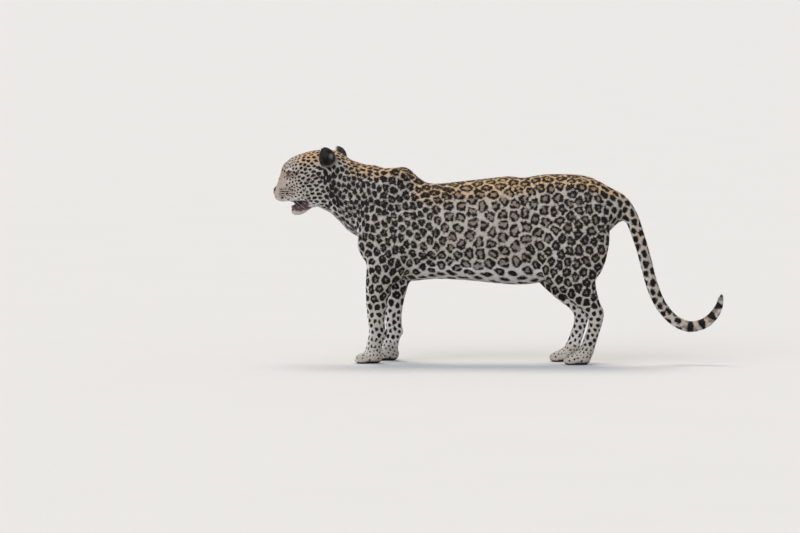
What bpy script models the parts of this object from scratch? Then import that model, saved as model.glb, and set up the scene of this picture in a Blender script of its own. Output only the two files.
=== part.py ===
# A leopard standing side on, life size, as a still model such as a museum shows.
# Metres, +Z up. The head points to -X and the animal's left side is at -Y.
# The body is modelled whole from lofts and muscle masses, fused into one skin, and parted
# into its named pieces with thin cuts.

import math

import bmesh
import bpy
from mathutils import Matrix, Vector

# Driving sizes
PARTING_GAP = 0.0003
FUSE_VOXEL = 0.0034
SMOOTH_PASSES = 150
HEAD_TRIANGLES = 3700
TRUNK_TRIANGLES = 4700
PAWS_TRIANGLES = 1300
PAW_TOP = 0.055
RING_SIDES = 28
STEPS_PER_SPAN = 4

# Trunk from chest to croup: x, y, height of the widest point, half width, rise above it, drop below it
TORSO = [
    (-0.352, 0.0, 0.425, 0.056, 0.130, 0.088),
    (-0.310, 0.0, 0.430, 0.086, 0.206, 0.124),
    (-0.240, 0.0, 0.420, 0.101, 0.222, 0.140),
    (-0.170, 0.0, 0.415, 0.109, 0.203, 0.143),
    (-0.100, 0.0, 0.415, 0.114, 0.197, 0.137),
    (0.010, 0.0, 0.415, 0.121, 0.209, 0.141),
    (0.120, 0.0, 0.415, 0.122, 0.221, 0.152),
    (0.200, 0.0, 0.420, 0.115, 0.226, 0.159),
    (0.270, 0.0, 0.445, 0.104, 0.212, 0.167),
    (0.330, 0.0, 0.480, 0.096, 0.184, 0.162),
    (0.400, 0.0, 0.510, 0.089, 0.143, 0.132),
    (0.470, 0.0, 0.525, 0.076, 0.105, 0.087),
    (0.530, 0.0, 0.540, 0.050, 0.050, 0.047),
]

# Neck from the back of the skull to between the shoulders
NECK = [
    (-0.510, 0.018, 0.618, 0.066, 0.084, 0.080),
    (-0.465, 0.012, 0.606, 0.078, 0.097, 0.092),
    (-0.420, 0.006, 0.590, 0.084, 0.107, 0.096),
    (-0.380, 0.002, 0.568, 0.087, 0.118, 0.106),
    (-0.335, 0.0, 0.545, 0.088, 0.135, 0.130),
    (-0.285, 0.0, 0.545, 0.084, 0.119, 0.158),
    (-0.210, 0.0, 0.530, 0.070, 0.105, 0.120),
    (-0.140, 0.0, 0.500, 0.050, 0.070, 0.080),
]

# Tail: x, y, z, then the radius three times, root to tip
TAIL = [
    (0.455, 0.0, 0.570, 0.048, 0.042, 0.048),
    (0.520, 0.0, 0.548, 0.037, 0.036, 0.037),
    (0.562, 0.0, 0.500, 0.028, 0.029, 0.029),
    (0.591, 0.0, 0.425, 0.025, 0.026, 0.026),
    (0.613, 0.0, 0.350, 0.024, 0.025, 0.025),
    (0.633, 0.0, 0.275, 0.024, 0.025, 0.025),
    (0.662, 0.0, 0.205, 0.023, 0.024, 0.024),
    (0.708, 0.0, 0.150, 0.023, 0.023, 0.023),
    (0.765, 0.0, 0.126, 0.022, 0.023, 0.023),
    (0.820, 0.0, 0.142, 0.021, 0.022, 0.022),
    (0.858, 0.0, 0.185, 0.019, 0.019, 0.019),
    (0.872, 0.0, 0.235, 0.012, 0.012, 0.012),
]

# Fore limb, shoulder to paw, for a foot at x 0: x, distance from the middle plane, z, half width,
# reach behind, reach in front
FORELEG = [
    (0.030, 0.066, 0.420, 0.046, 0.062, 0.062),
    (0.022, 0.080, 0.340, 0.050, 0.054, 0.060),
    (0.010, 0.086, 0.275, 0.044, 0.046, 0.052),
    (0.002, 0.084, 0.215, 0.036, 0.038, 0.043),
    (-0.002, 0.081, 0.150, 0.029, 0.031, 0.033),
    (0.000, 0.079, 0.110, 0.029, 0.030, 0.030),
    (-0.006, 0.078, 0.070, 0.030, 0.028, 0.030),
    (-0.014, 0.078, 0.035, 0.032, 0.026, 0.030),
]

# Hind limb below the knee, for a hock at x 0: x, distance from the middle plane, z, half width,
# reach behind, reach in front
SHANK = [
    (-0.118, 0.080, 0.360, 0.046, 0.120, 0.052),
    (-0.096, 0.087, 0.302, 0.042, 0.112, 0.062),
    (-0.054, 0.087, 0.245, 0.033, 0.070, 0.050),
    (-0.018, 0.083, 0.200, 0.027, 0.038, 0.035),
    (0.000, 0.080, 0.165, 0.026, 0.029, 0.030),
    (-0.008, 0.078, 0.120, 0.025, 0.025, 0.025),
    (-0.022, 0.077, 0.075, 0.027, 0.025, 0.027),
    (-0.036, 0.077, 0.035, 0.031, 0.025, 0.029),
]

# Where each foot stands. The far limbs stand a little apart from the near ones
LEFT, RIGHT = -1, 1
FORE_FOOT_X = {LEFT: -0.292, RIGHT: -0.252}
HOCK_X = {LEFT: 0.452, RIGHT: 0.392}

# Head, in its own frame: the origin is midway between the eyes and -X is forward
HEAD_PLACE = Vector((-0.580, 0.030, 0.640))
HEAD_TURN = math.radians(-9)
HEAD_NOD = math.radians(-7)
SKULL = [
    (-0.086, 0.0, -0.047, 0.014, 0.006, 0.014),
    (-0.078, 0.0, -0.049, 0.023, 0.016, 0.020),
    (-0.064, 0.0, -0.051, 0.029, 0.033, 0.026),
    (-0.046, 0.0, -0.047, 0.035, 0.048, 0.034),
    (-0.027, 0.0, -0.040, 0.040, 0.062, 0.042),
    (-0.007, 0.0, -0.030, 0.048, 0.076, 0.052),
    (0.015, 0.0, -0.022, 0.058, 0.081, 0.062),
    (0.037, 0.0, -0.016, 0.066, 0.083, 0.070),
    (0.070, 0.0, -0.012, 0.071, 0.084, 0.080),
    (0.105, 0.0, -0.012, 0.072, 0.083, 0.088),
    (0.140, 0.0, -0.016, 0.069, 0.078, 0.088),
    (0.175, 0.0, -0.024, 0.056, 0.060, 0.074),
]
JAW = [
    (-0.033, 0.0, -0.124, 0.018, 0.011, 0.014),
    (-0.017, 0.0, -0.125, 0.028, 0.013, 0.020),
    (0.002, 0.0, -0.120, 0.034, 0.015, 0.023),
    (0.026, 0.0, -0.111, 0.041, 0.020, 0.018),
    (0.060, 0.0, -0.098, 0.048, 0.030, 0.026),
    (0.100, 0.0, -0.088, 0.050, 0.030, 0.042),
]
# Soft masses of the head: place, radii, tilt about Y and turn about Z in degrees. Those off the
# middle plane are on both sides
MIDDLE_MASSES = [
    ((-0.074, 0.0, -0.051), (0.013, 0.022, 0.017), 18, 0),
    ((0.010, 0.0, 0.032), (0.036, 0.034, 0.024), 24, 0),
    ((0.002, 0.0, -0.102), (0.040, 0.020, 0.011), 10, 0),
]
SIDE_MASSES = [
    ((-0.050, 0.023, -0.069), (0.033, 0.023, 0.025), 8, -14),
    ((-0.047, 0.013, -0.015), (0.036, 0.012, 0.012), -46, 0),
    ((-0.026, 0.030, -0.040), (0.034, 0.012, 0.018), -14, 18),
    ((-0.008, 0.035, -0.075), (0.046, 0.018, 0.023), 4, 16),
    ((-0.004, 0.030, 0.021), (0.026, 0.015, 0.012), 20, 26),
    ((-0.002, 0.040, -0.034), (0.038, 0.016, 0.020), 12, 28),
    ((0.016, 0.037, -0.060), (0.046, 0.021, 0.032), 0, 22),
    ((0.052, 0.034, 0.014), (0.064, 0.034, 0.046), 0, 4),
    ((0.046, 0.048, -0.030), (0.052, 0.026, 0.034), 0, 8),
    ((0.072, 0.048, -0.072), (0.050, 0.033, 0.044), 0, 0),
    ((0.108, 0.046, -0.084), (0.045, 0.036, 0.054), 0, 0),
]
# The open mouth from the side: the corner, then the upper and the lower lip forward to the front
MOUTH_CORNER = (0.034, -0.0970)
UPPER_LIP = [(0.012, -0.0960), (-0.015, -0.0945), (-0.040, -0.0920), (-0.110, -0.0860)]
LOWER_LIP = [(-0.110, -0.1320), (-0.040, -0.1160), (-0.008, -0.1085), (0.016, -0.1020)]
TONGUE_HALF_WIDTH = 0.020
MOUTH_HALF_WIDTH = 0.090
# Eyeballs, and the almond opening of the lids as half length and half height
EYE_RADIUS = 0.0165
EYE_PLACE = Vector((-0.007, 0.0360, 0.0))
EYE_OUTWARD = 29
EYE_SLANT = 24
LID_OPENING = (0.0150, 0.0072)
ORBIT = (Vector((-0.044, 0.041, -0.003)), (0.021, 0.021, 0.019))
LID_DEPTH = 0.0034
# Nose pad, parted from the muzzle behind a slanting face and narrowed below
NOSE_BACK = (Vector((-0.072, 0.0, -0.052)), Vector((0.943, 0.0, 0.333)))
NOSE_HALF_WIDTH = 0.021
NOSE_SIDE = (Vector((0.0, 0.021, -0.046)), Vector((0.0, 0.86, -0.51)))
NOSTRIL_PLACE = Vector((-0.084, 0.0105, -0.052))
NOSTRIL_RADII = (0.009, 0.0038, 0.0050)
# Ears: cups of half depth, half width and half height on a flat foot
EAR_PLACE = Vector((0.129, 0.060, 0.030))
EAR_RADII = Vector((0.036, 0.033, 0.045))
EAR_WALL = 0.0055
EAR_SINK = 0.25
EAR_SPLAY, EAR_LEAN_BACK, EAR_TURN_IN = 44, 0, 26
EAR_MOUTH_X = -0.008
EAR_FOOT = (0.039, 0.037)

# Partings: a point, and the normal out of the piece that is parted off
TAIL_ROOT_X = 0.530
BUTTOCK_X = 0.517
LEG_INNER_Y = 0.012
HEAD_BACK_X = -0.440
HEAD_PART = (Vector((-0.418, 0.0, 0.600)), Vector((1.0, 0.0, -0.13)))
NECK_PARTS = [(Vector((-0.300, 0.0, 0.560)), Vector((1.0, 0.0, -0.42)))]
FORE_PART = (Vector((0.0, 0.034, 0.300)), Vector((0.0, -0.80, 0.60)))
HIND_PART = (Vector((0.0, 0.030, 0.330)), Vector((0.0, -0.84, 0.54)))
TAIL_PARTS = [
    ("tail_root", (Vector((0.533, 0.0, 0.540)), Vector((-1.0, 0.0, 0.85)))),
    ("tail_middle", (Vector((0.605, 0.0, 0.380)), Vector((-0.28, 0.0, 1.0)))),
    ("tail_end", (Vector((0.700, 0.0, 0.155)), Vector((-1.0, 0.0, 0.75)))),
]

COLOURS = {
    "coat": (0.56, 0.41, 0.24),
    "coat_pale": (0.70, 0.62, 0.50),
    "ear_back": (0.10, 0.08, 0.07),
    "nose_leather": (0.12, 0.07, 0.065),
    "eye": (0.50, 0.34, 0.10),
}


def clear_scene():
    for thing in list(bpy.data.objects):
        bpy.data.objects.remove(thing, do_unlink=True)


def material(name, colour, roughness=0.85, metallic=0.0):
    made = bpy.data.materials.new(name)
    made.use_nodes = True
    shader = made.node_tree.nodes["Principled BSDF"]
    shader.inputs["Base Color"].default_value = (*colour, 1.0)
    shader.inputs["Roughness"].default_value = roughness
    shader.inputs["Metallic"].default_value = metallic
    return made


def add_mesh(name, build_mesh, matrix=Matrix.Identity(4)):
    mesh = bpy.data.meshes.new(name)
    build_mesh.to_mesh(mesh)
    build_mesh.free()
    mesh.transform(matrix)
    thing = bpy.data.objects.new(name, mesh)
    bpy.context.scene.collection.objects.link(thing)
    return thing


def between(rows, steps=STEPS_PER_SPAN):
    """Catmull-Rom rows between the given ones."""
    rows = [Vector(row) for row in rows]
    padded = [2 * rows[0] - rows[1]] + rows + [2 * rows[-1] - rows[-2]]
    found = []
    for a, b, c, d in zip(padded, padded[1:], padded[2:], padded[3:]):
        for step in range(steps):
            t = step / steps
            found.append(
                0.5 * (2 * b + (c - a) * t + (2 * a - 5 * b + 4 * c - d) * t**2
                       + (3 * b - a - 3 * c + d) * t**3)
            )
    return found + [rows[-1]]


def loft(name, rows, matrix=Matrix.Identity(4), mirror=1, shift_x=0.0):
    """A closed tube through rings. mirror is the side, and shift_x moves the whole of it."""
    rings = between(rows)
    centres = [Vector((r[0] + shift_x, r[1] * mirror, r[2])) for r in rings]
    build = bmesh.new()
    loops = []
    for i, (row, centre) in enumerate(zip(rings, centres)):
        along = (centres[min(i + 1, len(centres) - 1)] - centres[max(i - 1, 0)]).normalized()
        side = (Vector((0, 1, 0)) - along * along.y).normalized()
        rise = along.cross(side)
        half_width, up, down = row[3], row[4], row[5]
        loop = []
        for k in range(RING_SIDES):
            turn = 2 * math.pi * k / RING_SIDES
            reach = up if math.sin(turn) > 0 else down
            loop.append(build.verts.new(
                centre + side * half_width * math.cos(turn) + rise * reach * math.sin(turn)))
        loops.append(loop)
    for first, second in zip(loops, loops[1:]):
        for k in range(RING_SIDES):
            m = (k + 1) % RING_SIDES
            build.faces.new((first[k], first[m], second[m], second[k]))
    build.faces.new(loops[0][::-1])
    build.faces.new(loops[-1])
    bmesh.ops.recalc_face_normals(build, faces=build.faces)
    return add_mesh(name, build, matrix)


def ellipsoid(name, centre, radii, turn=(0, 0, 0), matrix=Matrix.Identity(4), fineness=4):
    """turn is in degrees about X, Y and Z."""
    build = bmesh.new()
    bmesh.ops.create_icosphere(build, subdivisions=fineness, radius=1.0)
    place = Matrix.Translation(centre)
    for angle, axis in zip(turn, "XYZ"):
        place = place @ Matrix.Rotation(math.radians(angle), 4, axis)
    return add_mesh(name, build, matrix @ place @ Matrix.Diagonal((*radii, 1.0)))


def joined(name, pieces):
    build = bmesh.new()
    for piece in pieces:
        build.from_mesh(piece.data)
        bpy.data.objects.remove(piece, do_unlink=True)
    return add_mesh(name, build)


def applied(thing):
    """Swaps the object's mesh for the one its modifiers make."""
    bpy.context.view_layer.update()
    graph = bpy.context.evaluated_depsgraph_get()
    mesh = bpy.data.meshes.new_from_object(thing.evaluated_get(graph))
    thing.modifiers.clear()
    thing.data = mesh
    return thing


def eased(low, high, value):
    t = min(max((value - low) / (high - low), 0.0), 1.0)
    return t * t * (3 - 2 * t)


def looseness(place):
    """How far smoothing may go at a point: least on face and feet, most on the trunk."""
    if place.z < PAW_TOP:
        return 0.03
    if place.x > TAIL_ROOT_X:
        return 0.12
    face = 0.06 + 0.24 * eased(-0.61, -0.53, place.x)
    trunk = 0.12 + 0.88 * eased(0.27, 0.42, place.z)
    return face + (trunk - face) * eased(-0.48, -0.38, place.x)


def smooth(thing):
    group = thing.vertex_groups.new(name="looseness")
    for vert in thing.data.vertices:
        group.add([vert.index], looseness(vert.co), "REPLACE")
    modifier = thing.modifiers.new("Smooth", "SMOOTH")
    modifier.factor = 0.5
    modifier.iterations = SMOOTH_PASSES
    modifier.vertex_group = group.name
    return applied(thing)


def fused(name, pieces):
    thing = joined(name, pieces)
    remesh = thing.modifiers.new("Remesh", "REMESH")
    remesh.mode = "VOXEL"
    remesh.voxel_size = FUSE_VOXEL
    return applied(thing)


def thinned(thing, chosen, triangles):
    """Collapses the part of the mesh that is chosen down to about that many triangles."""
    group = thing.vertex_groups.new(name="thinned")
    inside = [chosen(vert.co) for vert in thing.data.vertices]
    group.add([i for i, is_in in enumerate(inside) if is_in], 1.0, "REPLACE")
    total = sum(len(face.vertices) - 2 for face in thing.data.polygons)
    within = sum(len(face.vertices) - 2 for face in thing.data.polygons
                 if all(inside[i] for i in face.vertices))
    modifier = thing.modifiers.new("Decimate", "DECIMATE")
    modifier.ratio = (total - within + triangles) / total
    modifier.vertex_group = group.name
    modifier.use_collapse_triangulate = True
    applied(thing)
    thing.vertex_groups.clear()
    return thing


def boolean(thing, other, operation):
    modifier = thing.modifiers.new("Cut", "BOOLEAN")
    modifier.operation = operation
    modifier.object = other
    modifier.solver = "EXACT"
    return applied(thing)


def largest_surface(thing):
    """Keeps the largest closed surface of a mesh."""
    build = bmesh.new()
    build.from_mesh(thing.data)
    unseen = set(build.verts)
    islands = []
    while unseen:
        stack = [unseen.pop()]
        island = list(stack)
        while stack:
            for edge in stack.pop().link_edges:
                for vert in edge.verts:
                    if vert in unseen:
                        unseen.discard(vert)
                        stack.append(vert)
                        island.append(vert)
        islands.append(island)
    islands.sort(key=len)
    loose = [vert for island in islands[:-1] for vert in island]
    bmesh.ops.delete(build, geom=loose, context="VERTS")
    build.to_mesh(thing.data)
    build.free()
    return thing


def region(low, high, planes=(), grow=0.0, matrix=Matrix.Identity(4)):
    """A box, trimmed by planes of point and outward normal, all moved out by grow."""
    build = bmesh.new()
    bmesh.ops.create_cube(build, size=1.0)
    low = Vector(low) - Vector((grow,) * 3)
    high = Vector(high) + Vector((grow,) * 3)
    for vert in build.verts:
        vert.co = Vector([l if c < 0 else h for c, l, h in zip(vert.co, low, high)])
    for point, normal in planes:
        normal = Vector(normal).normalized()
        cut = bmesh.ops.bisect_plane(
            build, geom=build.verts[:] + build.edges[:] + build.faces[:],
            plane_co=Vector(point) + normal * grow, plane_no=normal, clear_outer=True)
        rim = [g for g in cut["geom_cut"] if isinstance(g, bmesh.types.BMEdge)]
        bmesh.ops.edgeloop_fill(build, edges=rim)
    bmesh.ops.recalc_face_normals(build, faces=build.faces)
    return add_mesh("cutter", build, matrix)


def prism(outline, y_low, y_high, matrix):
    """An outline of x and z, drawn out along Y."""
    build = bmesh.new()
    face = build.faces.new([build.verts.new((x, y_low, z)) for x, z in outline])
    drawn = bmesh.ops.extrude_face_region(build, geom=[face])
    moved = [g for g in drawn["geom"] if isinstance(g, bmesh.types.BMVert)]
    bmesh.ops.translate(build, verts=moved, vec=(0.0, y_high - y_low, 0.0))
    bmesh.ops.recalc_face_normals(build, faces=build.faces)
    return add_mesh("cutter", build, matrix)


def cut_away(thing, cutter):
    boolean(thing, cutter, "DIFFERENCE")
    bpy.data.objects.remove(cutter, do_unlink=True)
    return largest_surface(thing)


def part_off(whole, name, low, high, planes=(), matrix=Matrix.Identity(4)):
    """Cuts the piece inside a region from the whole, and leaves the parting gap between them."""
    piece = whole.copy()
    piece.data = whole.data.copy()
    piece.name = name
    bpy.context.scene.collection.objects.link(piece)
    inside = region(low, high, planes, matrix=matrix)
    boolean(piece, inside, "INTERSECT")
    bpy.data.objects.remove(inside, do_unlink=True)
    cut_away(whole, region(low, high, planes, grow=PARTING_GAP, matrix=matrix))
    return largest_surface(piece)


def mirrored(place, side):
    return Vector((place.x, place.y * side, place.z))


def head_frame():
    return (Matrix.Translation(HEAD_PLACE) @ Matrix.Rotation(HEAD_TURN, 4, "Z")
            @ Matrix.Rotation(HEAD_NOD, 4, "Y"))


def trunk_masses():
    """Torso, neck and the muscle masses that shape them."""
    pieces = [loft("torso", TORSO), loft("neck", NECK),
              ellipsoid("withers", (-0.222, 0.0, 0.576), (0.115, 0.052, 0.076), (0, 8, 0))]
    for side in (LEFT, RIGHT):
        fore = FORE_FOOT_X[side] - FORE_FOOT_X[LEFT]
        pieces += [
            ellipsoid("scapula", (-0.252 + fore * 0.5, 0.046 * side, 0.556), (0.078, 0.044, 0.120),
                      (12 * side, 12, 0)),
            ellipsoid("shoulder", (-0.285 + fore * 0.7, 0.074 * side, 0.455), (0.074, 0.042, 0.120),
                      (8 * side, 22, 0)),
            ellipsoid("point_of_shoulder", (-0.312 + fore * 0.7, 0.068 * side, 0.400),
                      (0.046, 0.038, 0.066)),
            ellipsoid("triceps", (-0.226 + fore, 0.082 * side, 0.390), (0.058, 0.036, 0.105),
                      (0, 6, 0)),
            ellipsoid("hip", (0.400, 0.050 * side, 0.530), (0.112, 0.046, 0.092), (0, 24, 0)),
        ]
    return pieces


def paw(side, heel_x, reach_out, length, width):
    """A paw of four toes and its pads, the toes towards -X."""
    ball = ellipsoid("ball", (heel_x - 0.030, reach_out * side, 0.022),
                     (length * 0.50, width * 0.50, 0.027))
    pieces = [ball]
    for toe in range(4):
        across = (toe - 1.5) / 1.5
        pieces.append(ellipsoid(
            "toe", (heel_x - 0.030 - length * (0.50 - 0.10 * across**2),
                    reach_out * side + across * width * 0.36, 0.017),
            (0.027, 0.0125, 0.0185), (0, -14, -8 * across)))
    return pieces


def forelimb(side):
    x = FORE_FOOT_X[side]
    pieces = [loft("foreleg", FORELEG, mirror=side, shift_x=x),
              ellipsoid("elbow", (x + 0.066, 0.084 * side, 0.306), (0.026, 0.026, 0.036)),
              ellipsoid("wrist_pad", (x + 0.030, 0.078 * side, 0.098), (0.011, 0.012, 0.014))]
    return pieces + paw(side, x + 0.014, 0.078, 0.074, 0.080)


def hindlimb(side):
    x = HOCK_X[side]
    lean = x - HOCK_X[LEFT]
    pieces = [
        loft("shank", SHANK, mirror=side, shift_x=x),
        ellipsoid("thigh", (0.392 + lean * 0.3, 0.070 * side, 0.425), (0.112, 0.046, 0.130),
                  (0, 12, 0)),
        ellipsoid("thigh_front", (0.325 + lean * 0.5, 0.078 * side, 0.370), (0.056, 0.040, 0.110),
                  (0, 14, 0)),
        ellipsoid("hamstring", (0.443 + lean * 0.6, 0.068 * side, 0.400), (0.056, 0.038, 0.125),
                  (0, 8, 0)),
        ellipsoid("knee", (0.318 + lean * 0.8, 0.086 * side, 0.305), (0.038, 0.034, 0.050),
                  (0, 20, 0)),
        ellipsoid("hock", (x + 0.012, 0.080 * side, 0.172), (0.019, 0.018, 0.028), (0, 20, 0)),
    ]
    return pieces + paw(side, x - 0.022, 0.077, 0.072, 0.074)


def head_masses():
    frame = head_frame()
    pieces = [loft("skull", SKULL, matrix=frame), loft("jaw", JAW, matrix=frame)]
    for place, radii, tilt, turn in MIDDLE_MASSES:
        pieces.append(ellipsoid("mass", place, radii, (0, tilt, turn), frame))
    for side in (LEFT, RIGHT):
        for (x, y, z), radii, tilt, turn in SIDE_MASSES:
            pieces.append(ellipsoid("mass", (x, y * side, z), radii, (0, tilt, turn * side), frame))
        pieces.append(ellipsoid("ear_root", (0.0, 0.0, -0.014), (0.042, 0.042, 0.023),
                                matrix=ear_frame(side)))
    return pieces


def fuse_body():
    """The whole animal as one closed mesh, finest on the head."""
    pieces = trunk_masses() + head_masses() + [loft("tail", TAIL)]
    for side in (LEFT, RIGHT):
        pieces += forelimb(side) + hindlimb(side)
    body = fused("body", pieces)
    lids = []
    for side in (LEFT, RIGHT):
        place, radii = ORBIT
        cut_away(body, ellipsoid("cutter", mirrored(place, side), radii, (-EYE_SLANT * -side, 0, 0),
                                 head_frame(), fineness=3))
        lids.append(ellipsoid("lids", (0, 0, 0), (EYE_RADIUS + LID_DEPTH,) * 3, matrix=eye_frame(side)))
    body = largest_surface(smooth(fused("body", [body] + lids)))
    thinned(body, lambda co: co.x < HEAD_BACK_X, HEAD_TRIANGLES)
    thinned(body, lambda co: co.x >= HEAD_BACK_X and co.z < PAW_TOP, PAWS_TRIANGLES)
    thinned(body, lambda co: co.x >= HEAD_BACK_X and co.z >= PAW_TOP, TRUNK_TRIANGLES)
    return body


def eye_frame(side):
    """At the eyeball's middle, with -X out of the lids and Y along their slanting length."""
    return (head_frame() @ Matrix.Translation(mirrored(EYE_PLACE, side))
            @ Matrix.Rotation(math.radians(EYE_OUTWARD) * -side, 4, "Z")
            @ Matrix.Rotation(math.radians(EYE_SLANT) * side, 4, "X"))


def open_eyes(body):
    """The slit of the lids is cut before the socket, which then opens into it."""
    long_half, high_half = LID_OPENING
    turns = [2 * math.pi * k / 24 for k in range(24)]
    almond = [(long_half * math.cos(turn), high_half * math.sin(turn) * abs(math.sin(turn)) ** 0.3)
              for turn in turns]
    socket = (EYE_RADIUS + PARTING_GAP,) * 3
    for side in (LEFT, RIGHT):
        lying = eye_frame(side) @ Matrix.Rotation(math.radians(90), 4, "Z")
        cut_away(body, prism(almond, EYE_RADIUS * 0.3, EYE_RADIUS * 2.4, lying))
        cut_away(body, ellipsoid("cutter", (0, 0, 0), socket, matrix=eye_frame(side), fineness=3))


def eyeball(side):
    build = bmesh.new()
    bmesh.ops.create_uvsphere(build, u_segments=20, v_segments=12, radius=EYE_RADIUS)
    name = "eye_left" if side == LEFT else "eye_right"
    return add_mesh(name, build, eye_frame(side) @ Matrix.Rotation(math.radians(90), 4, "Y"))


def open_mouth(body):
    outline = [MOUTH_CORNER] + UPPER_LIP + LOWER_LIP
    for side in (LEFT, RIGHT):
        reach = sorted((TONGUE_HALF_WIDTH * side, MOUTH_HALF_WIDTH * side))
        cut_away(body, prism(outline, *reach, head_frame()))


def ear_frame(side):
    """At the middle of the ear's foot, with Z up the ear and the cup open towards -X."""
    return (head_frame() @ Matrix.Translation(mirrored(EAR_PLACE, side))
            @ Matrix.Rotation(math.radians(EAR_SPLAY) * -side, 4, "X")
            @ Matrix.Rotation(math.radians(EAR_LEAN_BACK), 4, "Y")
            @ Matrix.Rotation(math.radians(EAR_TURN_IN) * side, 4, "Z"))


def ear(body, side):
    """The cup, and the flat on the head that it stands on."""
    frame = ear_frame(side)
    middle = Vector((0.0, 0.0, EAR_RADII.z * EAR_SINK))
    name = "ear_left" if side == LEFT else "ear_right"
    cup = ellipsoid(name, middle, EAR_RADII, matrix=frame, fineness=3)
    low, high = EAR_WALL, middle.z + EAR_RADII.z - EAR_WALL
    hollow = ellipsoid("cutter", (0.0, 0.0, (low + high) / 2),
                       (EAR_RADII.x - EAR_WALL, EAR_RADII.y - EAR_WALL, (high - low) / 2),
                       matrix=frame, fineness=3)
    cut_away(cup, region((-0.1, -0.1, -0.1), (EAR_MOUTH_X, 0.1, 0.1), matrix=frame))
    cut_away(cup, hollow)
    cut_away(cup, region((-0.1, -0.1, -0.1), (0.1, 0.1, 0.0), matrix=frame))
    foot = [(EAR_FOOT[0] * math.cos(turn), EAR_FOOT[1] * math.sin(turn))
            for turn in (2 * math.pi * k / 24 for k in range(24))]
    upright = frame @ Matrix.Rotation(math.radians(90), 4, "X")
    cut_away(body, prism(foot, -PARTING_GAP, 0.090, upright))
    return cup


def nose(head):
    """The pad, with its two nostrils."""
    sides = [(mirrored(NOSE_SIDE[0], side), mirrored(NOSE_SIDE[1], side)) for side in (LEFT, RIGHT)]
    pad = part_off(head, "nose", (-0.120, -NOSE_HALF_WIDTH, -0.068),
                   (-0.040, NOSE_HALF_WIDTH, -0.026), [NOSE_BACK] + sides, head_frame())
    for side in (LEFT, RIGHT):
        cut_away(pad, ellipsoid("cutter", mirrored(NOSTRIL_PLACE, side), NOSTRIL_RADII,
                                (34 * side, 0, -30 * side), head_frame(), fineness=2))
    return pad


def tail(body):
    """Three lengths, parted from the tip back."""
    lengths = [part_off(body, name, (BUTTOCK_X, -0.2, 0.05), (1.2, 0.2, 0.72), [plane])
               for name, plane in reversed(TAIL_PARTS)]
    return lengths[::-1]


def legs(body):
    """The four legs, each parted from the trunk on a slope and from its paw on the level."""
    found = []
    for side, word in ((LEFT, "left"), (RIGHT, "right")):
        inner, outer = sorted((LEG_INNER_Y * side, 0.2 * side))
        for limb, x_low, x_high, foot in (
                ("fore", FORE_FOOT_X[side] - 0.09, FORE_FOOT_X[side] + 0.13, FORE_PART),
                ("hind", HOCK_X[side] - 0.24, HOCK_X[side] + 0.12, HIND_PART)):
            point, normal = foot
            found.append(part_off(body, f"{limb}paw_{word}", (x_low, inner, -0.1),
                                  (x_high, outer, PAW_TOP)))
            planes = [(mirrored(point, side), mirrored(normal, side))]
            if limb == "hind":
                lean = HOCK_X[side] - HOCK_X[LEFT]
                planes.append((Vector((0.262 + lean * 0.8, 0.0, 0.28)), Vector((-1.0, 0.0, 0.22))))
            found.append(part_off(body, f"{limb}leg_{word}", (x_low, inner, PAW_TOP + PARTING_GAP),
                                  (x_high, outer, 0.56), planes))
    return found


def finish(pieces):
    """One material for each kind of piece, and the whole stood with its foot at the origin."""
    for piece in pieces:
        kind = "coat"
        roughness = 0.85
        if piece.name == "nose":
            kind, roughness = "nose_leather", 0.45
        elif piece.name.startswith("eye"):
            kind, roughness = "eye", 0.08
        elif piece.name.startswith("ear"):
            kind = "ear_back"
        elif "paw" in piece.name:
            kind = "coat_pale"
        piece.data.materials.clear()
        piece.data.materials.append(material(f"{piece.name}_{kind}", COLOURS[kind], roughness))
    bpy.context.view_layer.update()
    corners = [piece.matrix_world @ vert.co for piece in pieces for vert in piece.data.vertices]
    middle = [(min(c[axis] for c in corners) + max(c[axis] for c in corners)) / 2 for axis in (0, 1)]
    leopard = bpy.data.objects.new("leopard", None)
    bpy.context.scene.collection.objects.link(leopard)
    leopard.location = (-middle[0], -middle[1], 0.0)
    for piece in pieces:
        piece.parent = leopard


def main():
    clear_scene()
    body = fuse_body()
    body.name = "torso"
    cut_away(body, region((-2, -2, -1), (2, 2, 0)))
    open_eyes(body)
    open_mouth(body)
    ears = [ear(body, side) for side in (LEFT, RIGHT)]
    head = part_off(body, "head", (-0.8, -0.3, 0.3), (-0.3, 0.3, 0.9), [HEAD_PART])
    pieces = ears + [eyeball(LEFT), eyeball(RIGHT), head, nose(head)]
    pieces += legs(body)
    pieces.append(part_off(body, "neck", (-0.8, -0.3, 0.3), (-0.1, 0.3, 0.9), NECK_PARTS))
    pieces += tail(body)
    finish(pieces + [body])


main()
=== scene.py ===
# A leopard as a life-size museum model: skin, coat, eyes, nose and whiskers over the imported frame.
# The head points to -X and the animal's left side is at -Y. Metres throughout.
# The limits in ramp(low, high, value) are metres, of the world or of the head's own frame, or shares
# of a unit normal. In the rules below x and z are the world's, and lx and lz are the head's own.

import math

import bmesh
import bpy
import numpy as np
from mathutils import Matrix, Vector
from mathutils.bvhtree import BVHTree
from mathutils.kdtree import KDTree


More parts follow.
